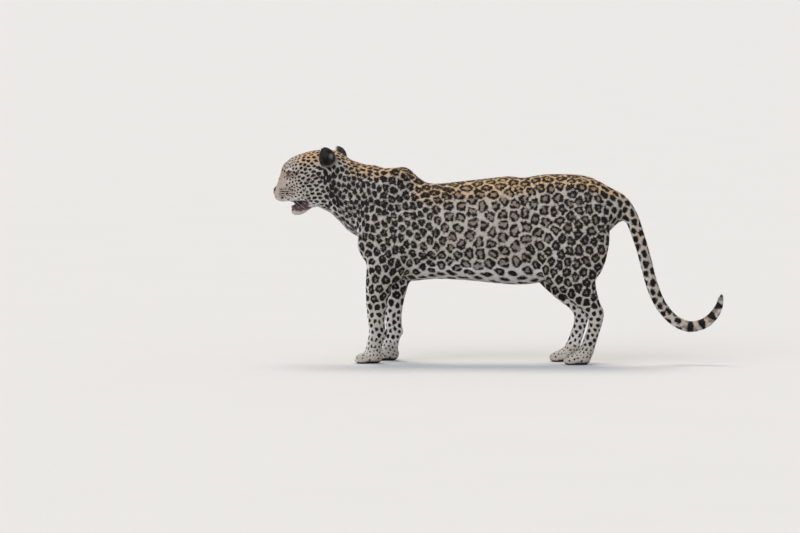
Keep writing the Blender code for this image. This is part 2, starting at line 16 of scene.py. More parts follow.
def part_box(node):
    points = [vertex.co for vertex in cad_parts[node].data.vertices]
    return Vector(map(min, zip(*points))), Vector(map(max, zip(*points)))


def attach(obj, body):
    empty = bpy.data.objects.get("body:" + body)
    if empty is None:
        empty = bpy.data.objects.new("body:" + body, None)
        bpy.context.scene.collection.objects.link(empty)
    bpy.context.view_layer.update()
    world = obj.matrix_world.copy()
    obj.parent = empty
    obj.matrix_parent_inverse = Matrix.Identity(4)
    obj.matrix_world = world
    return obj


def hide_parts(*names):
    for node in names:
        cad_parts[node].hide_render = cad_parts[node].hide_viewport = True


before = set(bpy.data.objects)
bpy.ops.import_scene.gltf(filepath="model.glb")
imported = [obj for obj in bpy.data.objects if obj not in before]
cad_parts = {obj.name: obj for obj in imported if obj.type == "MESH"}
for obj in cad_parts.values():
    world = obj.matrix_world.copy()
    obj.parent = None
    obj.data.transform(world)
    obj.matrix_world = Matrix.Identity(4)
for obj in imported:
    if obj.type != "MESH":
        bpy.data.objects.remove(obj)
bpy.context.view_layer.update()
chance = np.random.default_rng(20)
sides = {"left": -1, "right": 1}


# Tools for arrays and meshes

def numbers(items, name, kind=np.float32, width=1):
    found = np.empty(len(items) * width, kind)
    items.foreach_get(name, found)
    return found.reshape(-1, width) if width > 1 else found


def vectors(items, name):
    return numbers(items, name, width=3).astype(np.float64)


def ramp(low, high, value):  # 0 at low, 1 at high, eased between
    t = np.clip((value - low) / (high - low), 0.0, 1.0)
    return t * t * (3 - 2 * t)


def most(*values):
    return np.maximum.reduce(values)


def clamped(value):
    return np.clip(value, 0, 1)


def sizeOf(rows):
    return np.linalg.norm(rows, axis=1)


def unit(vectors):
    return vectors / np.maximum(np.linalg.norm(vectors, axis=-1, keepdims=True), 1e-9)


def dot(a, b):
    return (a * b).sum(-1)


def placed(points, matrix):  # points through a 4x4 matrix
    m = np.array(matrix)
    return points @ m[:3, :3].T + m[:3, 3]


def meshFrom(name, points, faces):  # faces is an array with one row of corners a face
    mesh = bpy.data.meshes.new(name)
    mesh.vertices.add(len(points))
    mesh.vertices.foreach_set("co", np.ascontiguousarray(points, np.float32).ravel())
    mesh.loops.add(faces.size)
    mesh.loops.foreach_set("vertex_index", np.ascontiguousarray(faces, np.int32).ravel())
    mesh.polygons.add(len(faces))
    mesh.polygons.foreach_set("loop_start", np.arange(0, faces.size, faces.shape[1], dtype=np.int32))
    mesh.update(calc_edges=True)
    return mesh


def movePoints(mesh, points):  # in place, with the faces kept
    mesh.vertices.foreach_set("co", points.astype(np.float32).ravel())
    mesh.update()


def shown(name, mesh, material=None):
    thing = bpy.data.objects.new(name, mesh)
    bpy.context.scene.collection.objects.link(thing)
    if material:
        mesh.materials.append(material)
    mesh.polygons.foreach_set("use_smooth", np.ones(len(mesh.polygons), bool))
    return thing


def applied(thing):  # the mesh that the object's modifiers make takes the place of its own
    bpy.context.view_layer.update()
    graph = bpy.context.evaluated_depsgraph_get()
    mesh = bpy.data.meshes.new_from_object(thing.evaluated_get(graph))
    thing.modifiers.clear()
    old, thing.data = thing.data, mesh
    bpy.data.meshes.remove(old)
    return thing


def remeshed(thing, voxel):
    modifier = thing.modifiers.new("Remesh", "REMESH")
    modifier.mode = "VOXEL"
    modifier.voxel_size = voxel
    return applied(thing)


def folded(local):  # both sides of the head as one
    return np.abs(local) * np.array([0, 1, 0]) + local * np.array([1, 0, 1])


def fromLine(points, start, end):  # distance from a line between two points, and how far down it
    start, end = np.array(start), np.array(end)
    t = clamped(((points - start) @ (end - start)) / ((end - start) @ (end - start)))
    return sizeOf(points - start - t[:, None] * (end - start)), t


def relaxed(values, edges, share, passes):  # each value moves towards its neighbours' mean
    count = np.maximum(np.bincount(edges.ravel(), minlength=len(values)), 1)
    flat = values.reshape(len(values), -1).astype(np.float64)
    share = np.broadcast_to(share, len(values))
    for _ in range(passes):
        mean = np.stack([
            (np.bincount(edges[:, 0], column[edges[:, 1]], len(values))
             + np.bincount(edges[:, 1], column[edges[:, 0]], len(values))) / count
            for column in flat.T], 1)
        flat += (mean - flat) * share[:, None]
    return flat.reshape(values.shape)


# Frames of the head's parts, found from the eye nodes

headLooks = {
    "nod": -7.0,                # degrees
    "eyeForward": 0.007,        # the eyes before the head's origin
    "eyeTurn": 29.0,            # degrees outward
    "eyeSlant": 24.0,
    "earPlace": (0.129, 0.060, 0.030),
    "earMiddle": 0.01125,       # up the ear, where its cup is centred
    "earSplay": 44.0,
    "earTurn": 26.0,
}


def turned(degrees, axis):
    return Matrix.Rotation(math.radians(degrees), 4, axis)


def middleOf(name):
    low, high = (Vector(corner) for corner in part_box(name))
    return (low + high) / 2


def headFrame():
    left, right = middleOf("eye_left"), middleOf("eye_right")
    across = right - left
    turn = Matrix.Rotation(math.atan2(-across.x, across.y), 4, "Z") @ turned(headLooks["nod"], "Y")
    middle = (left + right) / 2
    return Matrix.Translation(middle + turn.to_3x3() @ Vector((headLooks["eyeForward"], 0, 0))) @ turn


headPlace = headFrame()
headInverse = headPlace.inverted()


def eyeFrame(side):  # -X looks out of the lids, and Y lies along them
    word = "left" if side < 0 else "right"
    turn = headPlace.to_3x3().to_4x4() @ turned(-headLooks["eyeTurn"] * side, "Z")
    return Matrix.Translation(middleOf(f"eye_{word}")) @ turn @ turned(headLooks["eyeSlant"] * side, "X")


def earFrame(side):  # Z runs up the ear, and the cup opens to -X
    x, y, z = headLooks["earPlace"]
    return (headPlace @ Matrix.Translation((x, y * side, z)) @ turned(-headLooks["earSplay"] * side, "X")
            @ turned(headLooks["earTurn"] * side, "Z"))


eyeRadius = (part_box("eye_left")[1][2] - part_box("eye_left")[0][2]) / 2


# Skin: the nodes of flesh as one closed surface, drawn in by the coat's depth

skinSizes = {
    "voxel": 0.0038,
    "passes": 30,               # of smoothing
    "merged": 2,                # how often points are merged behind the face
    "faceBack": 0.005,          # faces before this, in the head's frame, are split finer
    "earKeep": 0.044,           # nothing is merged this near to an ear
    "fine": [((-0.066, 0, -0.078), 0.017), ((-0.030, 0, -0.101), 0.012)],  # split finer: lips and mouth
    "fineEye": 0.0235,
    "earWall": 0.0032,          # added inside the ears' cups, whose walls are thin
    "mouthBack": -0.012,        # how far back the open mouth goes, in the head's frame
    "muzzleSwell": 0.0018,      # the muzzle closes round the nose pad by this much
    "notchFill": 0.0052,        # the upper lip's middle comes down by this much
    "inset": 0.26,              # of the hair's length
    "lidLong": 0.0158,          # half length and half height of the eye's opening
    "lidHigh": 0.0052,
    "lidEdge": 0.0009,          # how far the lids' edge stands off the eyeball
    "lidThick": 0.0030,
    "lidSlope": 0.0045,         # over which the lid gains its thickness
    "lidTuck": 0.0028,          # the skin behind the eyeball's surface, inside the opening
    "lidEase": 0.0012,
    "lidReach": (0.0040, 0.0105),  # outside the opening, where the lid fades into the face
    "loose": 0.60,              # smoothing of the body, and how much less the parts below get
    "firmHead": 0.44,
    "firmEars": 0.88,
    "firmFeet": 0.80,
    "firmTail": 0.45,
}
hairLengths = {  # metres; those with more are added to the one before them
    "body": 0.0125,
    "moreBelly": 0.008,
    "moreThroat": 0.006,
    "face": 0.0028,
    "moreCheek": 0.0042,
    "moreJowl": 0.0050,
    "leg": 0.0055,
    "moreThigh": 0.0065,
    "paw": 0.0042,
    "ear": 0.0050,
    "tail": 0.0145,
    "moreInEar": 0.003,
}
mouthLooks = {
    "corner": 0.036,            # the head's own x, and below its x with z, as for the lips
    "upper": [(-0.110, -0.0860), (-0.040, -0.0920), (-0.015, -0.0945), (0.012, -0.0960), (0.034, -0.0970)],
    "lower": [(-0.110, -0.1320), (-0.040, -0.1160), (-0.008, -0.1085), (0.016, -0.1020), (0.034, -0.0970)],
    "middle": [(-0.04, -0.1015), (-0.01, -0.0995), (0.02, -0.0985)],
    "half": (0.0195, 0.0112),   # half the hollow's width and height
    "chin": -0.1265,            # brown above this and white below
}
partNames = ["head", "ear", "neck", "torso", "foreleg", "hindleg", "paw", "tail"]


def partOf(node):
    for index, word in enumerate(partNames):
        if word in node if word == "paw" else node.startswith(word):
            return index
    return partNames.index("head")


def lidGap(q):  # how far a point of the eye's frame lies outside the almond opening
    long, high = skinSizes["lidLong"], skinSizes["lidHigh"]
    along, up = np.abs(q[:, 1]), q[:, 2]
    lift = high * np.clip(1 - (along / long) ** 2, 0, None) ** 0.85
    return np.where(along < long, np.abs(up) - np.where(up > 0, lift * 0.78, lift * 0.86),
                    np.hypot(up, along - long))


def shapeLids(points):
    look = skinSizes
    edge, ease = look["lidEdge"], look["lidEase"]
    for side in sides.values():
        place = eyeFrame(side)
        q = placed(points, place.inverted())
        reach = sizeOf(q)
        near = (q[:, 0] < 0.002) & (reach < 0.034)
        out = lidGap(q)
        lid = eyeRadius + edge + look["lidThick"] * ramp(0.0, look["lidSlope"], out)
        tucked = eyeRadius - look["lidTuck"] * ramp(0.0, -ease, out) + edge * ramp(-ease, 0.0, out)
        hold = (1 - ramp(*look["lidReach"], out)) * near
        scale = 1 + (np.where(out < 0, tucked, lid) / np.maximum(reach, 1e-6) - 1) * hold
        points = np.where(near[:, None], placed(q * scale[:, None], place), points)
    return points


def lipHeight(local, name):
    return np.interp(local[:, 0], *zip(*mouthLooks[name]))


def mouthDepth(local):  # 1 in the middle of the open mouth, 0 at its lips
    wide, high = mouthLooks["half"]
    gap = np.hypot(local[:, 1] / wide, (local[:, 2] - lipHeight(local, "middle")) / high)
    return ramp(1.0, 0.50, gap) * ramp(-0.060, -0.045, local[:, 0])


def shapeMuzzle(points):
    local = placed(points, headInverse)
    hollow = mouthDepth(local) * np.clip(skinSizes["mouthBack"] - local[:, 0], 0, None)
    around = np.hypot(local[:, 1] / 0.031, (local[:, 2] + 0.052) / 0.027)
    swell = skinSizes["muzzleSwell"] * ramp(1.0, 0.55, around) * ramp(-0.055, -0.066, local[:, 0])
    notch = (ramp(0.0110, 0.0020, np.abs(local[:, 1])) * ramp(-0.072, -0.083, local[:, 2])
             * ramp(-0.097, -0.091, local[:, 2]) * ramp(-0.030, -0.040, local[:, 0]))
    local[:, 0] += hollow - swell
    local[:, 2] -= skinSizes["notchFill"] * notch
    return placed(local, headPlace)


def coatLength(v):  # metres of hair for each point of the skin
    part, local, p, n, hair = v["part"], v["local"], v["points"], v["normals"], hairLengths
    low = ramp(0.34, 0.28, p[:, 2]) * ramp(-0.2, -0.8, n[:, 2])
    front = part["neck"] * ramp(0.0, -0.7, n[:, 2] + n[:, 0])
    length = hair["body"] + hair["moreBelly"] * low * part["torso"] + hair["moreThroat"] * front
    legs = hair["leg"] + hair["moreThigh"] * ramp(0.14, 0.40, p[:, 2])
    jowl = ramp(0.07, 0.15, local[:, 0]) * ramp(0.02, -0.06, local[:, 2])
    face = hair["face"] + hair["moreCheek"] * ramp(-0.03, 0.06, local[:, 0]) + hair["moreJowl"] * jowl
    limb = clamped(part["foreleg"] + part["hindleg"])
    for wanted, share in ((legs, limb), (hair["paw"], part["paw"]), (face, part["head"]),
                          (hair["ear"], part["ear"]), (hair["tail"], part["tail"])):
        length = length + (wanted - length) * share
    return length


def thickened(place, normals, name):  # the cup's inner side moves inward
    centre = earFrame(sides[name[4:]]) @ Vector((0, 0, headLooks["earMiddle"]))
    inward = ramp(0.0, -0.6, dot(unit(place - np.array(centre)), normals))
    return place + normals * (inward * skinSizes["earWall"])[:, None]


def makeSkin():
    nodes = [name for name in sorted(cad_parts) if not name.startswith(("eye", "nose"))]
    points, faces, owner = [], [], []
    for name in nodes + ["eye_left", "eye_right"]:
        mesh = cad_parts[name].data
        mesh.calc_loop_triangles()
        faces.append(numbers(mesh.loop_triangles, "vertices", np.int32, 3) + sum(map(len, points)))
        points.append(numbers(mesh.vertices, "co", width=3))
        if name.startswith("ear"):
            points[-1] = thickened(points[-1], numbers(mesh.vertices, "normal", width=3), name)
        owner += [partOf(name)] * len(faces[-1])
    points, faces, owner = np.concatenate(points), np.concatenate(faces), np.array(owner)
    tree = BVHTree.FromPolygons(points.tolist(), faces.tolist())
    skin = remeshed(shown("leopard_skin", meshFrom("leopard_skin", points, faces)), skinSizes["voxel"])
    print("skin remeshed:", len(skin.data.vertices), "points")

    mesh = skin.data
    points = vectors(mesh.vertices, "co")
    edges = numbers(mesh.edges, "vertices", np.int32, 2)
    local = placed(points, headInverse)
    loose = skinSizes["loose"] - skinSizes["firmHead"] * ramp(0.215, 0.165, local[:, 0])
    for side in sides.values():
        q = placed(points, earFrame(side).inverted())
        ear = skinSizes["firmEars"] * ramp(0.060, 0.050, sizeOf(q))
        loose *= 1 - ear * ramp(-0.004, 0.006, q[:, 2])
    foot = ramp(0.075, 0.045, points[:, 2])
    loose *= np.where(points[:, 0] < -0.5, 1, 1 - skinSizes["firmFeet"] * foot)
    loose *= 1 - skinSizes["firmTail"] * ramp(0.42, 0.50, points[:, 0])
    movePoints(mesh, relaxed(points, edges, loose, skinSizes["passes"]))
    build = bmesh.new()
    build.from_mesh(skin.data)
    fine = [(middleOf(f"eye_{word}"), skinSizes["fineEye"]) for word in sides]
    fine += [(headPlace @ Vector(spot), reach) for spot, reach in skinSizes["fine"]]
    ears = [earFrame(side) @ Vector((0, 0, 0.02)) for side in sides.values()]
    behind = [vert for vert in build.verts if (headInverse @ vert.co).x > skinSizes["faceBack"] + 0.012
              and min((vert.co - ear).length for ear in ears) > skinSizes["earKeep"]]
    bmesh.ops.unsubdivide(build, verts=behind, iterations=skinSizes["merged"])
    for region in (lambda co: (headInverse @ co).x < skinSizes["faceBack"],
                   lambda co: any((co - spot).length < reach for spot, reach in fine)):
        chosen = [edge for edge in build.edges if all(region(vert.co) for vert in edge.verts)]
        bmesh.ops.subdivide_edges(build, edges=chosen, cuts=1, use_grid_fill=True)
    bmesh.ops.triangulate(build, faces=[face for face in build.faces if len(face.verts) > 3])
    build.to_mesh(skin.data)
    build.free()
    print("skin thinned:", len(skin.data.polygons), "triangles")
    return skin, tree, owner


def skinFields(skin, tree, owner):
    mesh = skin.data
    points, edges = vectors(mesh.vertices, "co"), numbers(mesh.edges, "vertices", np.int32, 2)
    owned = np.array([owner[tree.find_nearest(point)[2]] for point in points.tolist()])
    masks = relaxed(np.eye(len(partNames))[owned], edges, 0.5, 12)
    v = {"edges": edges, "owned": owned, "normals": vectors(mesh.vertices, "normal"),
         "part": {name: masks[:, index] for index, name in enumerate(partNames)},
         "faces": numbers(mesh.loops, "vertex_index", np.int32).reshape(-1, 3),
         "local": placed(points, headInverse)}
    v["points"] = relaxed(points, edges, 0.5 * ramp(skinSizes["faceBack"] + 0.01, 0.0, v["local"][:, 0]), 2)
    depth = relaxed(coatLength(v) * skinSizes["inset"], edges, 0.5, 6)
    depth *= ramp(0.0, 0.014, v["points"][:, 2])  # the soles stay on the floor
    v["points"] = shapeMuzzle(shapeLids(v["points"] - v["normals"] * depth[:, None]))
    movePoints(mesh, v["points"])
    v.update(local=placed(v["points"], headInverse), normals=vectors(mesh.vertices, "normal"),
             area=numbers(mesh.polygons, "area"))
    v["soft"] = unit(relaxed(v["normals"], edges, 0.5, 16))
    v["length"] = coatLength(v)
    return v


skin, cadTree, cadOwner = makeSkin()
body = skinFields(skin, cadTree, cadOwner)
print("skin fields done")


# The skin laid flat in charts, each one seen straight on, all at one scale

def layCharts(v):
    faces, edges = v["faces"], v["edges"]
    soft = relaxed(v["normals"], edges, 0.5, 10)
    facing = soft[faces].mean(1)
    owner = np.sort(v["owned"][faces], 1)[:, 1]
    axis = np.argmax(np.abs(facing), 1)
    kind = owner * 6 + axis * 2 + (facing[np.arange(len(faces)), axis] > 0)
    links = np.sort(np.concatenate([faces[:, [0, 1]], faces[:, [1, 2]], faces[:, [2, 0]]]), 1)
    key = links[:, 0].astype(np.int64) * len(v["points"]) + links[:, 1]
    order = np.argsort(key, kind="stable")
    same = key[order][1:] == key[order][:-1]
    a, b = order[:-1][same] % len(faces), order[1:][same] % len(faces)
    joined = kind[a] == kind[b]
    a, b = a[joined], b[joined]
    label = np.arange(len(faces))
    while True:  # the lowest label spreads through each chart
        before = label.copy()
        np.minimum.at(label, a, label[b])
        np.minimum.at(label, b, label[a])
        label = label[label]
        if (label == before).all():
            break
    _, chart = np.unique(label, return_inverse=True)
    across, up = np.array([1, 0, 0])[axis], np.array([2, 2, 1])[axis]
    flat = np.stack([np.take_along_axis(v["points"][faces], across[:, None, None], 2)[..., 0],
                     np.take_along_axis(v["points"][faces], up[:, None, None], 2)[..., 0]], 2)
    low = np.full((chart.max() + 1, 2), 1e9)
    high = -low
    for corner in range(3):
        np.minimum.at(low, chart, flat[:, corner])
        np.maximum.at(high, chart, flat[:, corner])
    size, edge = high - low, 0.006
    total = math.sqrt(((size[:, 0] + edge) * (size[:, 1] + edge)).sum()) * 1.10
    place, x, y, shelf = np.zeros_like(low), 0.0, 0.0, 0.0
    for index in np.argsort(-size[:, 1]):
        if x + size[index, 0] + edge > total and x > 0:
            x, y, shelf = 0.0, y + shelf, 0.0
        place[index] = x, y
        x += size[index, 0] + edge
        shelf = max(shelf, size[index, 1] + edge)
    scale = 0.99 / max(total, y + shelf, (place + size)[:, 0].max())
    laid = (flat - low[chart][:, None] + place[chart][:, None] + edge / 2) * scale
    print("charts:", len(low), "at", round(1 / scale, 2), "metres across")
    return laid


def giveLayout(mesh, laid):  # one pair of numbers for each corner of the mesh
    layer = mesh.uv_layers.new(name="OFBake")
    layer.uv.foreach_set("vector", np.ascontiguousarray(laid, np.float32).ravel())


def giveValues(mesh, name, *columns):  # three values for each point, read in the materials by name
    columns = list(columns) + [np.zeros(len(columns[0]))] * (3 - len(columns))
    layer = mesh.attributes.new(name, "FLOAT_VECTOR", "POINT")
    layer.data.foreach_set("vector", np.stack(columns, 1).astype(np.float32).ravel())


# Lie of the coat and its tones, for each point of the skin

waves = {"pitch": chance.normal(size=(6, 3)), "turn": chance.random((6, 3)) * 2 * math.pi}
waves["pitch"] = unit(waves["pitch"]) * np.array([230, 290, 360, 420, 520, 640])[:, None]


def wander(points, size):  # a smooth drift of each point, so that no edge is regular
    drift = np.zeros_like(points)
    for pitch, turn in zip(waves["pitch"], waves["turn"]):
        drift += np.sin((points @ pitch)[:, None] + turn)
    return points + drift * (size / 2.4)[:, None]


tailLine = np.array([(0.344, 0.570), (0.409, 0.548), (0.451, 0.500), (0.480, 0.425), (0.502, 0.350),
                     (0.522, 0.275), (0.551, 0.205), (0.597, 0.150), (0.654, 0.126), (0.709, 0.142),
                     (0.747, 0.185), (0.761, 0.235)])  # x and z of the tail's middle, root to tip


def blend(a, b, share):
    share = np.asarray(share)
    return a + (b - a) * (share[:, None] if np.ndim(a) > 1 else share)


def tailRun(p):  # distance down the tail, and its direction there
    steps = np.diff(tailLine, axis=0)
    sizes = sizeOf(steps)
    found, best, along = np.full(len(p), 9.0), np.zeros(len(p)), np.zeros((len(p), 2))
    for start, step, size, before in zip(tailLine, steps, sizes, np.cumsum(sizes) - sizes):
        t = clamped(((p[:, [0, 2]] - start) @ step) / size**2)
        gap = sizeOf(p[:, [0, 2]] - start - t[:, None] * step)
        nearer = gap < found
        found = np.where(nearer, gap, found)
        best = np.where(nearer, before + t * size, best)
        along = np.where(nearer[:, None], step / size, along)
    return best, along


lieWays = {  # where the hair points, as directions in the world
    "trunk": (1, 0, -0.22),
    "down": (0.35, 0, -1),      # the breast and the rump
    "neck": (1, 0, -0.50),
    "leg": (0.20, 0, -1),
    "paw": (-1, 0, -0.35),
}


def lieOf(v):  # a direction along the skin for each point
    part, p, n, local = v["part"], v["points"], v["normals"], v["local"]
    limb = clamped(part["foreleg"] + part["hindleg"])
    lie = np.broadcast_to(np.array(lieWays["trunk"], float), p.shape)
    for name, share in (("down", ramp(-0.30, -0.85, n[:, 0]) * ramp(-0.22, -0.30, p[:, 0])),
                        ("down", ramp(0.26, 0.40, p[:, 0]) * ramp(0.60, 0.42, p[:, 2])),
                        ("neck", clamped(part["neck"])),
                        ("leg", limb * ramp(0.50, 0.34, p[:, 2])),
                        ("paw", part["paw"] * ramp(0.060, 0.040, p[:, 2]))):
        lie = blend(lie, np.broadcast_to(np.array(lieWays[name], float), p.shape), share)
    along = tailRun(p)[1]
    lie = blend(lie, np.stack([along[:, 0], 0 * along[:, 0], along[:, 1]], 1), part["tail"])
    fan = unit(local - np.array([-0.105, 0, -0.060])) * np.array([1, 1, 0.8]) + np.array([0.25, 0, 0])
    lie = blend(lie, fan @ np.array(headPlace.to_3x3()).T, part["head"])  # back from the nose
    for side in sides.values():
        up = np.array(earFrame(side).to_3x3())[:, 2]
        lie = blend(lie, np.broadcast_to(up, p.shape), part["ear"] * (p[:, 1] * side > 0.03 * side))
    lie = unit(lie - n * dot(lie, n)[:, None])
    lie = relaxed(lie, v["edges"], 0.5, 4)
    return unit(lie - n * dot(lie, n)[:, None])


def eyeGap(p):  # distance outside the nearer eye's opening, over the eyeball
    gap = np.full(len(p), 1.0)
    for side in sides.values():
        q = placed(p, eyeFrame(side).inverted())
        near = (q[:, 0] < 0.004) & (sizeOf(q) < 0.06)
        gap = np.where(near, np.minimum(gap, lidGap(q)), gap)
    return gap


def bump(local, place, radii):  # 1 at a place on either side of the head, falling to 0 at the radii
    return ramp(1.0, 0.35, sizeOf((folded(local) - np.array(place)) / np.array(radii)))


toneLooks = {  # how much of its tone each part takes, 0 to 1
    "innerLeg": 0.8,
    "pawPale": 0.12,
    "chinShade": 0.45,
    "upperLip": 0.55,
    "underEye": 0.35,
    "brow": 0.60,
    "sideGold": 0.12,
    "backGoldAndSun": 0.80,
    "faceGold": 0.10,
    "crownGoldAndSun": 0.75,
    "ridgeGold": 0.38,
    "ridgeBrown": 0.42,
    "muzzleBrownAndShade": 0.58,
    "faceBrownAndShade": 0.27,
    "socketShade": 0.70,
}


def palePart(v, head, limb, trunk):  # belly, throat, breast, legs' inner sides and the tail's underside
    part, p, n = v["part"], v["points"], v["normals"]
    x, z, up = p[:, 0], p[:, 2], n[:, 2]
    before = ramp(-0.28, -0.34, x) * (1 - head)
    belly = np.maximum(ramp(0.330, 0.285, z), ramp(-0.25, -0.70, up) * ramp(0.42, 0.36, z)) * trunk
    throat = ramp(-0.10, -0.65, up) * ramp(-0.30, -0.36, x) * part["neck"]
    middle = ramp(0.58, 0.25, np.abs(v["soft"][:, 1])) * ramp(0.2, -0.2, up) * ramp(0.32, 0.38, z) * before
    breast = ramp(-0.50, -0.85, n[:, 0]) * before
    inner = ramp(0.15, 0.75, -n[:, 1] * np.sign(p[:, 1])) * limb * ramp(0.40, 0.33, z) * toneLooks["innerLeg"]
    tail = part["tail"] * ramp(-0.10, -0.70, dorsalOf(p, n))
    return most(belly, throat, middle, breast, inner, tail, part["paw"] * toneLooks["pawPale"])


def dorsalOf(points, normals):  # 1 on the upper side of the tail, -1 on its underside
    along = tailRun(points)[1]
    return normals[:, 2] * along[:, 0] - normals[:, 0] * along[:, 1]


def tonesOf(v):  # where the coat is pale, golden, brown or bare, 0 to 1, with painted light: sunlight in the gold of the back and crown, and shade in the brown of the face and eye sockets, on the chin and deep in the mouth
    part, p, n, local, look = v["part"], v["points"], v["normals"], v["local"], toneLooks
    z, up, lx, lz, beside = p[:, 2], n[:, 2], local[:, 0], local[:, 2], np.abs(local[:, 1])
    onHead = part["head"]
    head = clamped(onHead + part["ear"])
    limb = clamped(part["foreleg"] + part["hindleg"])
    trunk = clamped(part["torso"] + limb * ramp(0.30, 0.38, z))

    jaw = np.maximum(ramp(-0.093, -0.112, lz + 0.10 * np.clip(lx - 0.05, -0.2, 0.03)),
                     ramp(-0.20, -0.80, up) * ramp(-0.06, -0.09, lz))
    # the chin's white is dimmed at the front of the jaw: painted shade under the head
    faceMarks = [jaw * (1 - look["chinShade"] * ramp(0.030, -0.010, lx)),
                 look["upperLip"] * ramp(-0.070, -0.085, lz) * ramp(0.03, 0.0, lx),
                 look["underEye"] * bump(local, (-0.014, 0.044, -0.023), (0.020, 0.020, 0.009)),
                 look["brow"] * bump(local, (-0.012, 0.044, 0.014), (0.019, 0.022, 0.0085))]
    pale = np.maximum(palePart(v, head, limb, trunk), most(*faceMarks) * onHead)

    ridge = ramp(0.044, 0.014, beside) * ramp(0.000, -0.035, lx) * ramp(-0.080, -0.055, lz) * onHead
    # the back grows golden as it faces up: partly the coat's own warmer back, partly painted sunlight
    goldAndSun = look["sideGold"] + look["backGoldAndSun"] * ramp(0.25, 0.85, up)
    goldAndSun = goldAndSun * (trunk + part["neck"]) * ramp(0.28, 0.50, z)
    # the crown grows golden towards its top: partly its own colour, partly painted sunlight
    goldAndSun += (look["faceGold"] + look["crownGoldAndSun"] * ramp(0.00, 0.055, lz) * ramp(-0.02, 0.05, lx)) * onHead
    goldAndSun += part["tail"] * 0.25 + part["paw"] * 0.15 + look["ridgeGold"] * ridge

    inMouth = ((lz < lipHeight(local, "upper") + 0.0012) & (lz > lipHeight(local, "lower") - 0.0008)
               & (lx < mouthLooks["corner"])) * ramp(0.5, 0.8, onHead)
    lids = ramp(0.0030, 0.0014, eyeGap(p))
    cleft = (ramp(0.0022, 0.0012, beside) * ramp(-0.084, -0.081, lz) * ramp(-0.055, -0.060, lx)
             * ramp(-0.050, -0.056, lz) * onHead)
    soles = part["paw"] * ramp(-0.3, -0.7, up) * ramp(0.014, 0.008, z)
    uneven = lz + (wander(p, np.full(1, 0.0022)) - p)[:, 2]
    lip = (ramp(-0.094, -0.099, lz) * ramp(mouthLooks["chin"] - 0.006, mouthLooks["chin"] + 0.004, uneven)
           * ramp(0.050, 0.034, lx) * ramp(0.045, 0.030, lx) * onHead)  # the lower lip, brown and nearly bare
    # the muzzle's sides and the face's front are brown: partly their own colour, partly painted shade
    muzzle = (look["muzzleBrownAndShade"] * ramp(0.012, -0.010, lx) * ramp(-0.030, -0.050, lz)
              * ramp(-0.092, -0.082, lz) * ramp(-0.068, -0.055, lx) * onHead)
    front = look["faceBrownAndShade"] * ramp(0.030, -0.015, lx) * onHead
    # brown round the eye: painted shade in the eye's hollow
    socket = look["socketShade"] * bump(local, (0.000, 0.050, -0.006), (0.034, 0.024, 0.0170)) * onHead
    brownAndShade = most(lip, look["ridgeBrown"] * ridge, muzzle, front, socket, cleft * 0.25)
    # deep in the open mouth the brown fades to black: painted shade
    depth = np.maximum(mouthDepth(local), ramp(-0.020, 0.000, lx) * inMouth)
    return {"pale": clamped(pale - lip), "goldAndSun": clamped(goldAndSun),
            "bare": clamped(most(inMouth, lids, lip, cleft, soles)),
            "brownAndShade": clamped(brownAndShade - 0.85 * depth * inMouth)}


# Markings: every spot and rosette grows from its own seed on the skin

markKinds = {
    # millimetres: spacing, half the pale gap, reach, ring; then how filled, how long for its width,
    # how broken, and how upright its long axis stands
    "face": (9.5, 1.5, 4.7, 40, 0.0, 1.30, 0.0, 0.0),
    "crown": (12.0, 1.5, 7.4, 40, 0.0, 1.40, 0.0, 0.0),
    "cheek": (13.0, 1.5, 8.4, 40, 0.0, 1.85, 0.0, 0.0),
    "nape": (15.5, 1.7, 10.5, 40, 0.0, 1.45, 0.0, 0.0),
    "neck": (16.0, 1.5, 12.0, 40, 0.0, 1.60, 0.0, 1.0),
    "withers": (27.0, 1.9, 22.0, 12, 0.80, 1.25, 0.4, 0.5),
    "shoulder": (22.0, 2.1, 15.5, 10.0, 0.90, 1.30, 0.5, 0.8),
    "forearm": (26.0, 2.9, 18.0, 9.0, 0.80, 1.12, 0.25, 0.5),
    "shin": (16.0, 3.3, 9.5, 40, 0.0, 1.15, 0.0, 0.3),
    "back": (30.0, 2.6, 22.0, 9.0, 0.65, 1.25, 0.35, 0.0),
    "flank": (32.0, 3.2, 22.0, 8.8, 0.80, 1.15, 0.50, 0.8),
    "belly": (32.0, 5.6, 15.0, 14, 0.85, 1.55, 0.3, 0.0),
    "rump": (29.0, 2.5, 21.0, 9.0, 0.92, 1.10, 0.30, 0.6),
    "thigh": (27.0, 2.5, 20.0, 9.5, 0.95, 1.18, 0.25, 0.8),
    "seat": (18.0, 2.9, 12.0, 40, 0.0, 1.20, 0.0, 0.6),
    "paw": (10.5, 2.5, 4.4, 40, 0.0, 1.15, 0.0, 0.0),
    "tail": (22.0, 3.2, 14.0, 12, 0.80, 1.25, 0.2, 0.4),
}


seedLooks = {
    "tries": 90000,
    "cell": 0.06,               # metres, wider than any spacing
    "moves": 2,
    "move": 0.6,                # of the way
    "wander": 0.075,            # of the spacing: how far the marks' edges stray
    "wanderMost": 0.0026,
    "soft": 0.0012,             # rounds the corners between two marks
    "throatWhite": 3.6,         # millimetres that the marks of the throat lose
}
neighbours = [(i, j, k) for i in (-1, 0, 1) for j in (-1, 0, 1) for k in (-1, 0, 1)]


